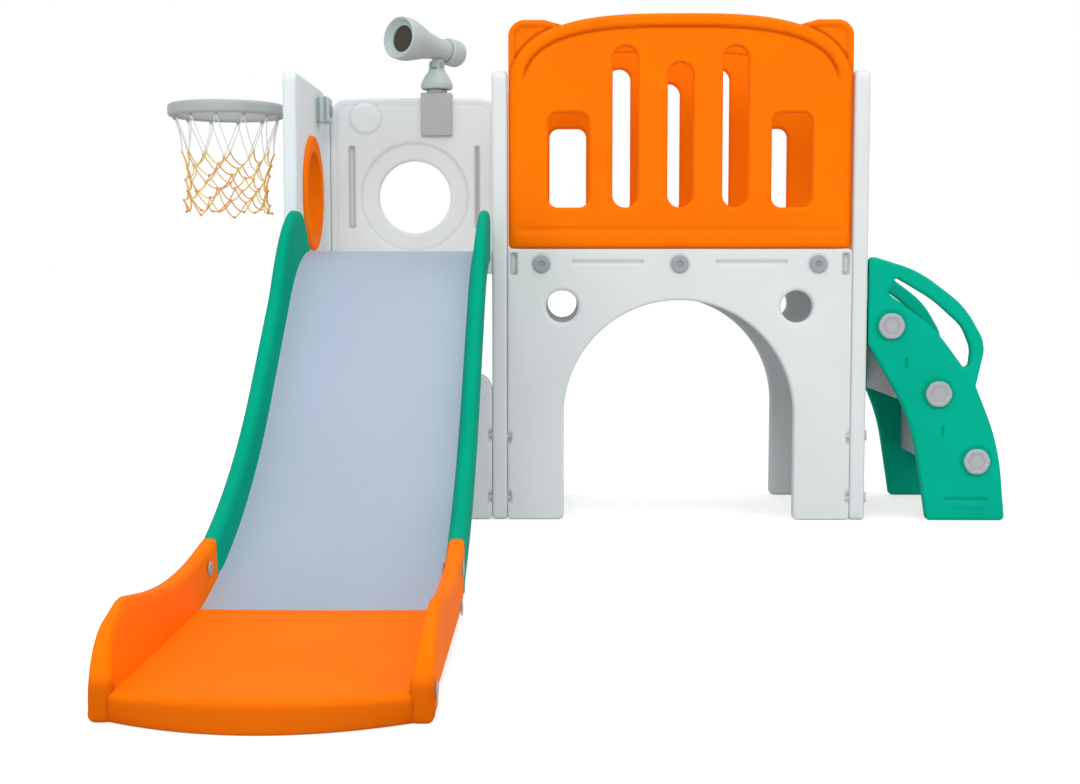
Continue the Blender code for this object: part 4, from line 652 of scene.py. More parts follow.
# The bead's own bow is this much inside the outline, and it fades out below a height
BEAD_IN, BEAD_R, BEAD_LOW, BEAD_FADE = 0.001, 0.0135, 0.985, 0.050


def bow(half_width, height, steps=160):
    """Bowed top, right to left: |x/a|^p + |z/b|^p = 1, at even angles of the curve."""
    angle = np.linspace(0, math.pi, steps + 1)
    c, s = np.cos(angle), np.sin(angle)
    return np.stack([TUNNEL_X + half_width * np.sign(c) * np.abs(c) ** (2 / RAIL_POWER),
                     RAIL_TOP - RAIL_BOW + height * np.abs(s) ** (2 / RAIL_POWER)], axis=1)


def railing_outline():
    """The railing's silhouette: left and right foot, right ear, bow, left ear."""
    top = bow(RAIL_HALF, RAIL_BOW)
    between = top[np.abs(top[:, 0] - TUNNEL_X) < EAR_DX - EAR_R]
    left, right = TUNNEL_X - RAIL_HALF, TUNNEL_X + RAIL_HALF
    foot_z, ear_z, quarter = PANEL_TOP + CLEAR + FOOT_R, EAR_TOP - EAR_R, math.pi / 2
    return np.concatenate([
        arc(left + FOOT_R, foot_z, FOOT_R, 2 * quarter, 3 * quarter, 8),
        arc(right - FOOT_R, foot_z, FOOT_R, 3 * quarter, 4 * quarter, 8),
        arc(right - EAR_R, ear_z, EAR_R, 0, quarter, 18),
        [(TUNNEL_X + EAR_DX, EAR_TOP)], between, [(TUNNEL_X - EAR_DX, EAR_TOP)],
        arc(left + EAR_R, ear_z, EAR_R, quarter, 2 * quarter, 18)])


def railing_relief(u, v):
    """Bead along the bow with a crease below it, pockets in the ears, soft sides, a bottom bead.

    The bead is h * sqrt(1 - t^2) of the distance t from its middle line, a crease a bell curve
    of it, and the sides fall off by a cube, the foot by a square, of the way to the edge.
    """
    half, rise = RAIL_HALF - BEAD_IN, RAIL_BOW - BEAD_IN
    away = path_distance(u, v, bow(half, rise))
    over = (np.abs((u - TUNNEL_X) / half) ** RAIL_POWER
            + np.maximum(0, (v - RAIL_TOP + RAIL_BOW) / rise) ** RAIL_POWER) > 1
    depth = np.where(over, -away, away)
    high = fade(BEAD_LOW - v, BEAD_FADE)
    crown = np.sqrt(np.clip(1 - ((depth - BEAD_R) / BEAD_R) ** 2, 0, 1))
    lift = high * (0.0064 * crown - 0.0042 * groove(depth - 0.0290, 0.0036)
                   - 0.0026 * groove(depth + 0.0040, 0.0034))
    rim = path_distance(u, v, railing_outline(), closed=True)
    ear = fade(depth + 0.002, 0.004) * fade(1.02 - v, 0.02)
    lift -= ear * (0.0010 + 0.0045 * fade(0.0125 - rim, 0.005))
    from_side = half - np.abs(u - TUNNEL_X)
    lift -= 0.0110 * (1 - high) * np.clip(1 - from_side / 0.024, 0, 1) ** 3
    ends = np.clip((from_side - 0.006) / 0.030, 0, 1)
    lift += ends * (0.0052 * fade(v - 0.6405, 0.014) - 0.0016 * groove(v - 0.6515, 0.0028))
    return lift - 0.0075 * np.clip((0.622 - v) / 0.016, 0, 1) ** 2


def railing_inner_relief(u, v):
    """The crease along the bow, a bell curve, as it shows on the side that faces the deck."""
    depth = path_distance(u, v, bow(RAIL_HALF - BEAD_IN, RAIL_BOW - BEAD_IN))
    return -0.0030 * fade(BEAD_LOW - v, BEAD_FADE) * groove(depth - 0.0295, 0.0030)


railing_holes = [box_outline(TUNNEL_X + dx - w / 2, TUNNEL_X + dx + w / 2, OPENING_FOOT, top,
                             r - HAIR) for dx, w, top, r in OPENINGS]
reliefs = (railing_relief, railing_inner_relief)
for label, y, faces in (("front", FRONT_Y, reliefs), ("back", BACK_Y, reliefs[::-1])):
    worn(panel(f"moulded_{label}_railing", [railing_outline()] + railing_holes, "XZ", y, RAIL_T,
               0.008, ORANGE, *faces, 0.0034), "orange_parts", f"railing_{label}")


# Tunnel bolts, pegs and porthole ring

def hexagon_distance(u, v, turn=0.0):
    """Distance towards a hexagon's nearest side: r * cos of the angle from that side's middle."""
    angle = (np.arctan2(v, u) + turn) % (math.pi / 3) - math.pi / 6
    return np.hypot(u, v) * np.cos(angle)


def bolt_head(name, centre, level, plane, side, radius, high, socket, *nodes):
    """A round bolt head with a soft rim and a six-sided socket, as a small moulded panel."""
    def face(u, v):
        """A low crown, 1 - (r / radius)^2, less the socket's fade."""
        u, v = u - centre[0], v - centre[1]
        crown = 0.0012 * np.clip(1 - (np.hypot(u, v) / radius) ** 2, 0, 1)
        return crown - 0.42 * high * fade(hexagon_distance(u, v, math.pi / 6) - socket, 0.0012)

    outward_face = "back" if (plane == "XZ") == (side > 0) else "front"
    worn(panel(name, [circle(*centre, radius, 64)], plane, level + side * (CLEAR + high / 2), high,
               min(0.0022, high * 0.45), BOLT, spacing=0.0011, **{outward_face: face}),
         "bolts", *nodes)


for label, y, side in ENDS:
    for x, spot in zip(BOLT_XS, ("left", "middle", "right")):
        bolt_head(f"bolt_head_{label}_{spot}", (x, BOLT_Z), y, "XZ", side, 0.019, 0.0060, 0.0072,
                  f"tunnel_bolt_{label}_{spot}")

for node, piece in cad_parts.items():
    if node.startswith("peg_") or node in ("tower_deck", "tunnel_deck"):
        for material_slot in piece.material_slots:
            material_slot.material = PEG if node.startswith("peg_") else WHITE

RING_T = 0.0083
ring_profile = rounded([
    (RING_HOLE_R, -WALL_T, 0.002), (RING_HOLE_R + RING_SLEEVE_T, -WALL_T, 0.002),
    (RING_HOLE_R + RING_SLEEVE_T, CLEAR, 0), (SEAT_R, CLEAR, 0.001), (SEAT_R, RING_T, 0.005),
    (0.118, RING_T, 0.004), (0.113, 0.0065, 0.003), (RING_HOLE_R, RING_T, 0.004)], 0.0008)
porthole = turned("moulded_porthole_ring", ring_profile, (LEFT_IN, DEPTH / 2, PORT_Z), (1, 0, 0),
                  ORANGE, steps=128, closed=True)
# Painted shade on the ring's inner sleeve, fading out a few millimetres beyond the hole's edge
_, ring_y, ring_z = coordinates(porthole)
bore = np.hypot(ring_y - DEPTH / 2, ring_z - PORT_Z) - RING_HOLE_R
worn(give_painted_shade(porthole, 0.45 * fade(bore - 0.004, 0.004)), "orange_parts", "porthole_ring")


# Slide

SLIDE_HALF, SLIDE_RAIL_T = 0.215, 0.035
BED_T, BED_FILLET = 0.020, 0.003
LIP_L, CREST_R, SLOPE, STRAIGHT_L = 0.030, 0.420, math.radians(40), 0.300
RUNOUT_R, RUNOUT_END = 1.200, math.radians(9.5)
SIDE_LOW, SIDE_UP, SIDE_CREST, SIDE_CREST_R = 0.030, 0.047, 0.093, 0.040
SIDE_SINK = (0.100, 0.390)
BED_L = LIP_L + CREST_R * SLOPE + STRAIGHT_L + RUNOUT_R * (SLOPE - RUNOUT_END)
SIDE_END_RUN = BED_L - RUNOUT_R * (math.radians(16) - RUNOUT_END)


def slide_at(run):
    """Bed surface (y, z) and slope: flat lip, crest arc, straight slope, run-out arc.

    A straight adds its length along the slope, an arc its radius times differences of the
    slope's sines and cosines.
    """
    run = np.asarray(run, float)
    lip = np.minimum(run, LIP_L)
    crest = np.clip((run - LIP_L) / CREST_R, 0, SLOPE)
    straight = np.clip(run - LIP_L - CREST_R * SLOPE, 0, STRAIGHT_L)
    turn = np.clip((run - LIP_L - CREST_R * SLOPE - STRAIGHT_L) / RUNOUT_R, 0,
                   SLOPE - RUNOUT_END + 0.06)
    y = (-CLEAR - lip - CREST_R * np.sin(crest) - straight * math.cos(SLOPE)
         - RUNOUT_R * (math.sin(SLOPE) - np.sin(SLOPE - turn)))
    z = (DECK_Z - CREST_R * (1 - np.cos(crest)) - straight * math.sin(SLOPE)
         - RUNOUT_R * (np.cos(SLOPE - turn) - math.cos(SLOPE)))
    return np.stack([y, z], axis=-1), crest - turn


def beside_bed(run, height):
    """Points square to the bed: its surface plus height times (-sin, cos) of its slope."""
    point, slope = slide_at(run)
    square = np.stack([-np.sin(slope), np.cos(slope)], axis=-1)
    return point + np.asarray(height)[..., None] * square


# The bed reaches into the rails, and its foot under the exit's cheeks
BED_SEAT, BED_TAIL = 0.0015, 0.036
bed_half = SLIDE_HALF - SLIDE_RAIL_T + BED_SEAT
bed_flat = np.linspace(bed_half - BED_FILLET, -bed_half + BED_FILLET, 25)[1:-1]
bed_section = np.concatenate([
    [(-bed_half, -BED_T), (bed_half, -BED_T)],
    arc(bed_half - BED_FILLET, BED_FILLET, BED_FILLET, 0, -math.pi / 2, 8),
    np.column_stack([bed_flat, 0 * bed_flat]),
    arc(-bed_half + BED_FILLET, BED_FILLET, BED_FILLET, -math.pi / 2, -math.pi, 8)])
bed_runs = np.linspace(0, BED_L + BED_TAIL, 141)
bed_side = beside_bed(bed_runs[:, None], bed_section[:, 1])
bed_across = np.broadcast_to(TOWER_X + bed_section[:, 0], bed_side.shape[:2])
worn(closed_grid("moulded_slide_bed", np.dstack([bed_across, bed_side]), BED),
     "slide_bed", "slide_bed")


def side_height(run):
    """Height of a side rail above the bed: a smooth step from the crest's down to the slope's."""
    t = np.clip((run - SIDE_SINK[0]) / (SIDE_SINK[1] - SIDE_SINK[0]), 0, 1)
    return SIDE_CREST + (SIDE_UP - SIDE_CREST) * t * t * (3 - 2 * t)


crest_z = beside_bed(SIDE_SINK[0], SIDE_CREST)[1]
rear_y = slide_at(LIP_L)[0][0]
# The rail ends on a slant, with the exit's cheek over it
SPLICE_TOP, SPLICE_FOOT = SIDE_END_RUN - 0.012, SIDE_END_RUN + 0.050
top_runs = np.linspace(SIDE_SINK[0], SPLICE_TOP, 90)
foot_runs = np.linspace(SPLICE_FOOT, LIP_L, 90)
rail_outline = np.concatenate([
    arc(rear_y - SIDE_CREST_R, crest_z - SIDE_CREST_R, SIDE_CREST_R, 0, math.pi / 2, 16)[:-1],
    beside_bed(top_runs, side_height(top_runs)), beside_bed(foot_runs, np.full(90, -SIDE_LOW))])


def over_bed(y, z):
    """Height over the bed's surface at the same y, times the cosine of its slope."""
    points, slope = slide_at(bed_runs[::-1])
    rise = z - np.interp(y, points[:, 0], points[:, 1])
    return rise * np.cos(np.interp(y, points[:, 0], slope))


def rail_share(y, z):
    """Part of a rail's thickness that is left: 1 less a power of its height over the bed."""
    return 1 - 0.42 * np.clip(over_bed(y, z) / SIDE_CREST, 0, 1) ** 0.8


def leaning(piece, outer, share):
    """The piece with its thickness cut: x = outer + (x - outer) * share(y, z)."""
    return moved(piece, lambda x, y, z: (outer + (x - outer) * share(y, z), y, z))


for label, side in SIDES:
    outer = TOWER_X + side * SLIDE_HALF
    rail = panel(f"moulded_slide_side_{label}", [rail_outline], "YZ",
                 outer - side * SLIDE_RAIL_T / 2, SLIDE_RAIL_T, 0.013, RAIL_GREEN, spacing=0.008)
    worn(leaning(rail, outer, rail_share), "green_parts", f"slide_rail_{label}")


# Slide exit

EXIT_L, EXIT_BOW, TRAY_TOP = 1.600, 0.056, 0.038
EXIT_NOSE, EXIT_LIFT = -EXIT_L - 0.004, 0.022
cheek_top = beside_bed(SPLICE_TOP + CLEAR, SIDE_UP)
cheek_foot = beside_bed(SPLICE_FOOT + CLEAR, -SIDE_LOW)
cheek_outline = rounded([
    (*cheek_foot, 0), (*cheek_top, 0), (0.380 - EXIT_L, 0.0925, 1.20),
    (0.132 - EXIT_L, 0.130, 0.110), (EXIT_NOSE, 0.097, 0.095), (EXIT_NOSE, 0, 0.006),
    (0.060 - EXIT_L, 0, 0.008), (0.082 - EXIT_L, EXIT_LIFT, 0.014),
    (cheek_foot[0] - 0.080, EXIT_LIFT, 0.20)])


def cheek_share(y, z):
    """Part of the cheek's thickness that is left: the rail's, or ahead 1 less a power of height."""
    front = np.clip((-1.08 - y) / 0.50, 0, 1)
    rise = np.clip((z - TRAY_TOP) / 0.085, 0, 1)
    ahead = np.clip((-1.00 - y) / 0.20, 0, 1)
    return rail_share(y, z) * (1 - ahead) + (1 - 0.10 * front - 0.42 * rise ** 1.2) * ahead


def painted_shade_band(piece, top):
    """Paints shade on the exit's front face below a height: a product of two fades."""
    _, y, z = coordinates(piece)
    return give_painted_shade(piece, 0.88 * fade(z - top, 0.45 * top) * fade(y + 1.585, 0.020))


for label, side, nodes in (("left", -1, ("slide_exit",)), ("right", 1, ())):
    outer = TOWER_X + side * SLIDE_HALF
    cheek = panel(f"moulded_exit_cheek_{label}", [cheek_outline], "YZ",
                  outer - side * SLIDE_RAIL_T / 2, SLIDE_RAIL_T, 0.010, ORANGE, spacing=0.006)
    # Painted shade on the cheek's front face below 52 mm
    worn(painted_shade_band(leaning(cheek, outer, cheek_share), 0.052), "orange_parts", *nodes)

# The tray's section (back, up), from its underside round the roll and back under the bed
tray_roll = np.linspace(0, math.pi / 2, 9)
tray_section = np.concatenate([
    [(0.060, 0.000), (0.003, 0.000), (0.0002, 0.0010), (-0.0018, 0.0035), (-0.0034, 0.010),
     (-0.0044, 0.017), (-0.0048, 0.023)],
    np.stack([-0.0045 + 0.016 * (1 - np.cos(tray_roll)),
              TRAY_TOP - 0.012 + 0.012 * np.sin(tray_roll)], axis=1),
    np.array([(0.030, 0.0001), (0.034, 0.0002), (0.100, 0.0004), (0.300, 0.0012), (0.420, 0.0032),
              (0.456, 0.0048), (0.460, 0.0042), (0.461, 0.0030)]) + (0, TRAY_TOP),
    [(0.462, 0.010), (0.300, 0.010), (0.061, 0.006)]])
back, height = tray_section.T
TRAY_L = 0.560
back_share = back / TRAY_L
# Half the width: narrow in front, where a notch divides it from the feet, then into the cheeks
tray_half = np.where(back < 0.031, 0.1884, 0.1965 - 0.0125 * back_share)
# The foot bows more than the roll
bow_share = 1 - 0.53 * np.clip(height / TRAY_TOP, 0, 1)
tray_across = np.linspace(-1, 1, 61)[:, None]
front_y = -EXIT_L - EXIT_BOW * bow_share * (1 - tray_across ** 2)
tray_points = np.dstack([TOWER_X + tray_half * tray_across,
                         front_y * (1 - back_share) + (TRAY_L - EXIT_L) * back_share,
                         np.broadcast_to(height, front_y.shape)])
# Painted shade on the tray's front band below 33 mm
worn(painted_shade_band(closed_grid("moulded_exit_tray", tray_points, ORANGE), 0.033), "orange_parts")

exit_bolts = {"upper": beside_bed(BED_L - 0.065, 0.030),
              "lower": (slide_at(BED_L - 0.018)[0][0], 0.034),
              "front": (0.025 - EXIT_L, 0.036)}
for label, side in SIDES:
    for spot, centre in exit_bolts.items():
        bolt_head(f"bolt_head_{spot}_{label}", centre, TOWER_X + side * SLIDE_HALF, "YZ", side,
                  0.012, 0.0020, 0.0045, f"slide_bolt_{spot}_{label}")
    inner = SLIDE_HALF - SLIDE_RAIL_T * float(cheek_share(*exit_bolts["upper"]))
    bolt_head(f"bolt_cap_{label}", exit_bolts["upper"], TOWER_X + side * inner, "YZ", -side,
              0.012, 0.0030, 0.0045)


# Climber

CLIMBER_T = 0.030
CLIMBER_X = RIGHT_R + CLEAR
STEPS = [(RIGHT_R + 0.053 + 0.097 * k + 0.010 * k * (2 - k), 0.435 - 0.151 * k) for k in range(3)]
climber_side = [
    (0.003, 0.396, 0.010), (0.003, 0.587, 0.008), (0.017, 0.587, 0.030), (0.112, 0.5575, 0.250),
    (0.215, 0.480, 0.200), (0.264, 0.395, 0.075), (0.2436, 0.3013, 0.010), (0.297, 0.170, 0.500),
    (0.313, 0.000, 0.010), (0.139, 0.000, 0.010), (0.103, 0.225, 0.450)]
climber_grip = [
    (0.062, 0.543, 0.008), (0.145, 0.494, 0.250), (0.212, 0.434, 0.080), (0.232, 0.385, 0.060),
    (0.228, 0.347, 0.010), (0.216, 0.342, 0.006), (0.150, 0.430, 0.300), (0.044, 0.508, 0.010)]
climber_loops = [rounded([(CLIMBER_X + x, z, radius) for x, z, radius in corners])
                 for corners in (climber_side, climber_grip)]


def climber_relief(u, v):
    """Sum of marks: round seats beneath the caps, pressed lines near the floor, two short ones."""
    lift = -0.0028 * box_mark(u, v, CLIMBER_X + 0.225, 0.048, 0.048, 0.0035, 0.003)
    lift -= 0.0010 * box_mark(u, v, CLIMBER_X + 0.230, 0.0243, 0.033, 0.002, 0.002, 0.002)
    for x, z in ((0.088, 0.352), (0.171, 0.200)):
        lift -= 0.0034 * box_mark(u, v, CLIMBER_X + x, z, 0.0024, 0.013, 0.002, 0.002)
    return lift - 0.0015 * sum(round_mark(u, v, x, z, 0.036) for x, z in STEPS)


for label, y in (("front", CLIMBER_T / 2), ("back", DEPTH - CLIMBER_T / 2)):
    worn(panel(f"moulded_climber_{label}", climber_loops, "XZ", y, CLIMBER_T, 0.007, GREEN,
               spacing=PRESS_SPACING, **{label: climber_relief}),
         "green_parts", f"climber_side_{label}")

TREAD_R, TREAD_FRONT = 0.015, 0.045
tread_width = DEPTH - 2 * CLIMBER_T - 2 * CLEAR
for index, (x, z) in enumerate(STEPS):
    rear, low, top = max(x - 0.083, CLIMBER_X), z - TREAD_R, z + TREAD_R
    corners = [(rear, low, 0.004), (x + TREAD_FRONT, low, 0.008), (x + TREAD_FRONT, top, 0.008)]
    if index:
        over = STEPS[index - 1][1] - TREAD_R - CLEAR
        corners += [(rear + 0.018, top, 0.008), (rear + 0.018, over, 0.002), (rear, over, 0.002)]
    else:
        corners.append((rear, top, 0.004))
    worn(panel(f"moulded_step_{index + 1}", [rounded(corners, 0.001)], "XZ", DEPTH / 2,
               tread_width, 0.0015, STEP), "grey_steps", f"climber_step_{index + 1}")

CAP_R, CAP_T = 0.0325, 0.010
for index, (x, z) in enumerate(STEPS):
    def cap_face(u, v, x=x, z=z):
        """Wide dish inside a raised rim: fades the hexagon's distance."""
        return -0.0022 * fade(hexagon_distance(u - x, v - z) - 0.0185, 0.005)

    hexagon = rounded([(x + CAP_R * math.cos(a), z + CAP_R * math.sin(a), 0.023)
                       for a in np.arange(6) * math.pi / 3], 0.0008)
    for label, y, side in ENDS:
        worn(panel(f"moulded_cap_{label}_{index + 1}", [hexagon], "XZ",
                   y + side * (CLEAR + CAP_T / 2), CAP_T, 0.004, STEP, spacing=0.0016,
                   **{label: cap_face}), "grey_steps", f"step_cap_{label}_{index + 1}")


# Telescope

SCOPE_X = -0.170
PAN, HOOD_UP = math.radians(-38), math.radians(5)
CLAMP_W, CLAMP_T = 0.076, 0.012
BRIDGE = BACK_TOP + CLEAR + CLAMP_T
BELL_Z = BRIDGE + 0.009 + CLEAR
PIN_Z = BELL_Z + 0.060
UP = np.array([0.0, 0.0, 1.0])
clamp_front, clamp_back = DEPTH - WALL_T - CLEAR, DEPTH + CLEAR
clamp_low, clamp_short = BACK_TOP - 0.093, BACK_TOP - 0.060
clamp_outline = rounded([
    (clamp_front - CLAMP_T, clamp_low, 0.003), (clamp_front, clamp_low, 0.002),
    (clamp_front, BACK_TOP + CLEAR, 0), (clamp_back, BACK_TOP + CLEAR, 0),
    (clamp_back, clamp_short, 0.002), (clamp_back + CLAMP_T, clamp_short, 0.003),
    (clamp_back + CLAMP_T, BRIDGE, 0.006), (clamp_front - CLAMP_T, BRIDGE, 0.006)], 0.0008)
worn(panel("moulded_clamp", [clamp_outline], "YZ", SCOPE_X, CLAMP_W, 0.003, GREY, spacing=0.008),
     "grey_parts", "telescope_clamp")
pivot = rounded_line([(0, -0.004, 0), (0.025, -0.004, 0), (0.025, 0.009, 0.002),
                      (0.012, 0.009, 0), (0.012, 0.026, 0.002), (0, 0.026, 0)])
worn(turned("clamp_pivot", pivot, (SCOPE_X, BACK_Y, BRIDGE), UP, GREY), "grey_parts")
knob = rounded_line([(0, 0, 0), (0.005, 0, 0), (0.005, 0.0125, 0), (0.015, 0.0125, 0.001),
                     (0.0172, 0.015, 0.002), (0.0172, 0.026, 0.003), (0.010, 0.0265, 0.001),
                     (0.007, 0.025, 0.001), (0, 0.025, 0)])
worn(turned("clamp_knob", knob, (SCOPE_X, clamp_back, BACK_TOP - 0.030), (0, 1, 0), GREY,
            flutes=16, depth=0.035), "grey_parts", "telescope_clamp_knob")

pan_x = np.array([math.cos(PAN), math.sin(PAN), 0.0])
pan_y = np.array([-math.sin(PAN), math.cos(PAN), 0.0])
tilt_pin = np.array([SCOPE_X, BACK_Y, PIN_Z])
bell = rounded_line([(0.0128, 0, 0), (0.036, 0, 0.002), (0.039, 0.004, 0.003),
                     (0.039, 0.013, 0.004), (0.033, 0.026, 0.012), (0.026, 0.037, 0.008),
                     (0.021, 0.042, 0.004), (0.021, 0.048, 0.002), (0.0, 0.048, 0)])
worn(turned("moulded_bell", np.concatenate([[(0.0, 0.0188), (0.0128, 0.0188)], bell]),
            (SCOPE_X, BACK_Y, BELL_Z), UP, SCOPE),
     "grey_parts", "telescope_swivel", body="telescope_head")


def turned_panel(name, outline, thickness, edge, axes, origin, level=0.0):
    """A moulded panel turned into three directions: (u, v, w) @ axes + origin."""
    piece = panel(name, [outline], "XY", level, thickness, edge, SCOPE, spacing=0.006)
    axes = np.stack(axes)
    return outward(moved(piece, lambda *local: (np.stack(local, axis=1) @ axes + origin).T))


fork_arm = box_outline(-0.012, 0.012, 0.040, 0.072, 0.001, 0.0119, 0.0008)
screw = rounded_line([(0, -0.010, 0), (0.004, -0.010, 0), (0.004, 0.0003, 0),
                      (0.0072, 0.0003, 0.0004), (0.0072, 0.0018, 0.0008),
                      (0.0038, 0.0024, 0.0004), (0.0028, 0.0010, 0.0003), (0, 0.0010, 0)])
LUG_T, ARM_T, FORK_GAP = 0.014, 0.008, 0.0008
for label, side in SIDES:
    level = side * (LUG_T / 2 + FORK_GAP + ARM_T / 2)
    worn(turned_panel(f"fork_arm_{label}", fork_arm, ARM_T, 0.0015, (pan_y, UP, pan_x),
                      (SCOPE_X, BACK_Y, BELL_Z), level), "grey_parts", body="telescope_head")
for label, side, nodes in (("left", -1, ()), ("right", 1, ("telescope_tilt_pin",))):
    face = tilt_pin + side * (LUG_T / 2 + FORK_GAP + ARM_T) * pan_x
    worn(turned(f"tilt_screw_{label}", screw, face, side * pan_x, BOLT, steps=48),
         "bolts", *nodes, body="telescope_head")

aim = -pan_y * math.cos(HOOD_UP) + UP * math.sin(HOOD_UP)
rise = np.cross(aim, pan_x)
rise = rise if rise[2] > 0 else -rise
axle = tilt_pin + 0.040 * rise
hood = rounded_line([
    (0.0, -0.030, 0), (0.023, -0.030, 0.002), (0.026, -0.026, 0.003), (0.026, 0.004, 0.012),
    (0.0345, 0.052, 0.02), (0.0435, 0.081, 0.020), (0.050, 0.104, 0.015), (0.0515, 0.120, 0.03),
    (0.0505, 0.137, 0.003), (0.0475, 0.140, 0.002), (0.0455, 0.138, 0.001), (0.040, 0.131, 0.002),
    (0.035, 0.126, 0.001), (0.0323, 0.1255, 0.0005), (0.0323, 0.118, 0), (0.0, 0.118, 0)])
worn(turned("moulded_barrel", hood, axle, aim, SCOPE, steps=128),
     "grey_parts", "telescope_barrel", body="telescope_tube")
lug = box_outline(-0.011, 0.011, -0.011, 0.027, 0.0109, 0.001, 0.0008)
worn(turned_panel("barrel_lug", lug, LUG_T, 0.0012, (-aim, rise, pan_x), tilt_pin),
     "grey_parts", body="telescope_tube")
lens = rounded_line([(0, 0.1183, 0), (0.032, 0.1183, 0), (0.032, 0.1215, 0.001),
                     (0.022, 0.1232, 0.03), (0.0, 0.1240, 0)])
worn(turned("domed_lens", lens, axle, aim, LENS), "lens", "telescope_lens", body="telescope_tube")
eyepiece = rounded_line([
    (0, -0.0303, 0), (0.029, -0.0303, 0.001), (0.033, -0.034, 0.003), (0.033, -0.066, 0.004),
    (0.029, -0.0753, 0.003), (0.021, -0.0753, 0.002), (0.016, -0.064, 0.001), (0, -0.064, 0)])
worn(turned("moulded_eyepiece", eyepiece, axle, aim, SCOPE),
     "grey_parts", "telescope_eyepiece", body="telescope_tube")


# Hoop

HOOP_Y, HOOP_Z, HOOP_R = 0.315, FRAME_H - 0.058, 0.140
HOOP_X = LEFT_OUT - 0.049 - HOOP_R
PAD_HALF, PAD_T, PAD_EDGE = 0.030, 0.012, 0.004
hoop_section = box_outline(0.118, HOOP_R, -0.015, 0.015, 0.008, chord=0.001)
worn(turned("moulded_hoop", hoop_section, (HOOP_X, HOOP_Y, HOOP_Z), UP, GREY, steps=160,
            closed=True), "grey_parts", "hoop_ring")
pad_x = LEFT_OUT - CLEAR - PAD_T / 2
arm = box_outline(HOOP_X + 0.129, pad_x, HOOP_Y - PAD_HALF, HOOP_Y + PAD_HALF, 0.004, chord=0.001)
worn(panel("hoop_arm", [arm], "XY", HOOP_Z, 0.022, PAD_EDGE, GREY, spacing=0.006), "grey_parts")
pad = box_outline(HOOP_Y - PAD_HALF, HOOP_Y + PAD_HALF, HOOP_Z - 0.031, HOOP_Z + 0.031, 0.010)
worn(panel("hoop_pad", [pad], "YZ", pad_x, PAD_T, PAD_EDGE, GREY, spacing=0.006), "grey_parts")
JAW_T = 0.031
jaw_face = LEFT_IN + CLEAR + JAW_T
jaw = box_outline(LEFT_IN + CLEAR, jaw_face, HOOP_Z - 0.029, HOOP_Z + 0.033, 0.008)


def jaw_relief(u, v):
    """Two upright grooves in the jaw's sides: a sum of fades."""
    return -0.004 * sum(fade(np.abs(u - LEFT_IN - x) - 0.0025, 0.003) for x in (0.005, 0.021))


worn(panel("moulded_hoop_jaw", [jaw], "XZ", HOOP_Y, 2 * PAD_HALF, PAD_EDGE, SCOPE, jaw_relief,
           jaw_relief, 0.002), "grey_parts", "hoop_jaw")
bolt_head("hoop_screw_head", (HOOP_Y, HOOP_Z), jaw_face, "YZ", 1, 0.014, 0.003, 0.0060,
          "hoop_screw")


# Net: long white strands above and a slack tangle of short coloured meshes below

NET_MESHES, NET_DROP, NET_CORD = 12, 0.225, 0.0032
NET_TOP = HOOP_Z - 0.0165
NET_TS = (0.0, 0.38, 0.52, 0.65, 0.78, 0.89, 1.0)
HOOK_R, KNOT_R = 0.0050, 0.0034
slack = np.random.default_rng(11).normal(0, 1, (len(NET_TS), NET_MESHES, 3))


def knot(level, count):
    """Place of a knot: even angles, a narrowing radius and a wander that grows downwards."""
    t = NET_TS[level]
    angle = 2 * math.pi * (count + (level % 2) / 2) / NET_MESHES
    radius = 0.098 + 0.028 * (1 - t) ** 2
    wander = slack[level, count % NET_MESHES] * np.array([0.0045, 0.0045, 0.0065])
    return np.array([HOOP_X + radius * math.cos(angle), HOOP_Y + radius * math.sin(angle),
                     NET_TOP - t * NET_DROP]) + wander * min(1, 1.5 * t)


def strand(level, count, lean):
    """Points of a strand between two knots, in a shallow curve: 4 * s * (1 - s) of its sag."""
    first = knot(level, count)
    last = knot(level + 1, count + (level % 2 if lean > 0 else level % 2 - 1))
    s = np.linspace(0, 1, 9)[:, None]
    inward = unit((np.array([HOOP_X, HOOP_Y, 0]) - (first + last) / 2) * (1, 1, 0))
    sag = 0.004 * inward + np.array([0, 0, -0.003 - 0.003 * (level > 0)])
    return first + (last - first) * s + 4 * s * (1 - s) * sag


def strands(name, low, high, which, of, radius, material):
    """The levels' strands of one colour: those whose scrambled number mod a count is as given."""
    every = [strand(level, k, lean) for level in range(low, high) for k in range(NET_MESHES)
             for lean in (1, -1)]
    chosen = [path for index, path in enumerate(every) if index * 7 // 3 % of == which]
    return tubes(name, np.stack(chosen), radius, 8, material)


def knots(name, low, high, material, radius):
    """Knots: small round beads, radius * (cos a cos b, sin a cos b, sin b), at each crossing."""
    b = np.linspace(-math.pi / 2, math.pi / 2, 7)[:, None]
    a = np.arange(8) * math.pi / 4
    ball = np.dstack([np.cos(b) * np.cos(a), np.cos(b) * np.sin(a), np.sin(b) + 0 * a])
    ball = ball.reshape(-1, 3) * radius
    centres = np.stack([knot(level, k) for level in range(low, high) for k in range(NET_MESHES)])
    starts = np.arange(len(centres))[:, None, None] * len(ball)
    faces = (grid_faces(7, 8, close_columns=True) + starts).reshape(-1, 4)
    return from_home(name, centres[:, None] + ball, faces.tolist(), material)


worn(strands("net_upper_strands", 0, 1, 0, 1, NET_CORD * 0.40, CORD_WHITE), "net", "hoop_net")
worn(strands("net_orange_strands", 1, 6, 0, 2, NET_CORD / 2, CORD_ORANGE), "net")
worn(strands("net_yellow_strands", 1, 6, 1, 2, NET_CORD / 2, CORD_YELLOW), "net")
worn(knots("net_hooks", 0, 1, GREY, HOOK_R), "net")
worn(knots("net_yellow_knots", 1, 3, CORD_YELLOW, KNOT_R), "net")
worn(knots("net_orange_knots", 3, 7, CORD_ORANGE, KNOT_R), "net")


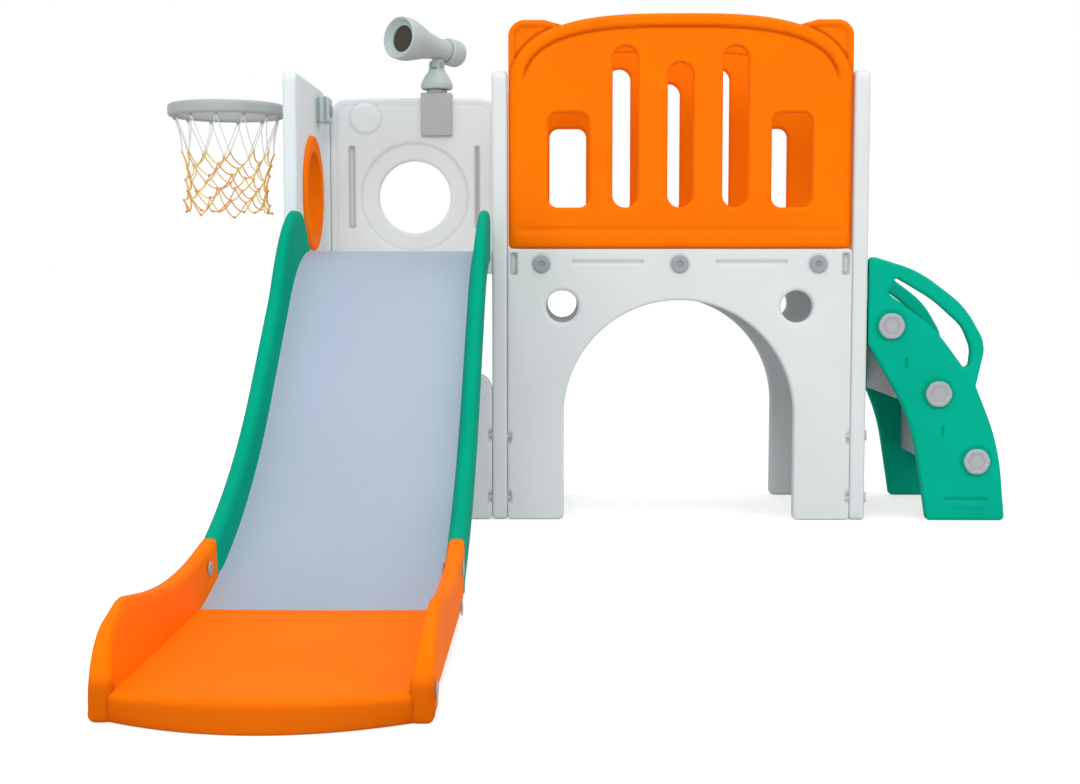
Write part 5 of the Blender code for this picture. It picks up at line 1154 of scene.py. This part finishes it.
# Camera, floor and light

FOCAL_PX, FRAME_PX = 1573, 1080
camera_data = bpy.data.cameras.new("camera")
camera_data.sensor_width = 36
camera_data.lens = FOCAL_PX / FRAME_PX * camera_data.sensor_width
camera = new_object("camera", camera_data)
camera.location = (0.1388 + HOME[0], -3.5 + HOME[1], 0.5566)
camera.rotation_euler = (math.pi / 2 - math.radians(4.3987), 0, math.radians(0.8013))
bpy.context.scene.camera = camera

# The paper and the world look white to the camera, whatever light they give
WHITE_LIGHT = (1.0, 1.0, 1.0, 1)
paper, paper_tree, paper_shader = new_material("studio_paper")
seen = add_node(paper_tree, "LightPath", "Is Camera Ray")
brighter = add_node(paper_tree, "Math", "Value", {1: 0.55}, {0: seen}, operation="MULTIPLY")
set_inputs(paper_shader, {"Base Color": (0.72, 0.72, 0.72, 1), "Roughness": 0.9,
                          "Emission Color": WHITE_LIGHT}, {"Emission Strength": brighter})
floor_r = np.array([0.0, 2.0, 6.0, 20.0, 80.0])[:, None]
floor_angle = np.arange(48) * math.pi / 24
floor_points = np.dstack([floor_r * np.cos(floor_angle), floor_r * np.sin(floor_angle),
                          np.full((5, 48), -0.0005)]).reshape(-1, 3)
mesh_object("studio_floor", floor_points,
                     grid_faces(5, 48, close_columns=True).tolist(), paper)

world = bpy.data.worlds.new("studio")
world.use_nodes = True
seen = add_node(world.node_tree, "LightPath", "Is Camera Ray")
shown = ranged(world.node_tree, seen, {"To Min": 0.70, "To Max": 1.0})
set_inputs(world.node_tree.nodes["Background"], {"Color": WHITE_LIGHT}, {"Strength": shown})
bpy.context.scene.world = world
bpy.context.scene.view_settings.view_transform = "Standard"

# Square area lights: place, the point that each faces, side and watts
for name, place_at, look_at, size, power in (
        ("key", (-0.4, -4.0, 3.0), (0, 0, 0.5), 2.0, 64),
        ("fill_right", (3.2, -2.4, 2.0), (0, 0, 0.5), 2.0, 24),
        ("fill_left", (-3.2, -2.2, 1.6), (0.3, 0, 0.4), 2.0, 18),
        ("overhead", (0.2, 0.4, 3.6), (0, 0, 0.4), 2.2, 32)):
    light = bpy.data.lights.new(name, "AREA")
    light.size = size
    light.energy = power
    lamp = new_object(name, light)
    lamp.location = place_at
    aimed = Vector(look_at) - Vector(place_at)
    lamp.rotation_euler = aimed.to_track_quat("-Z", "Y").to_euler()
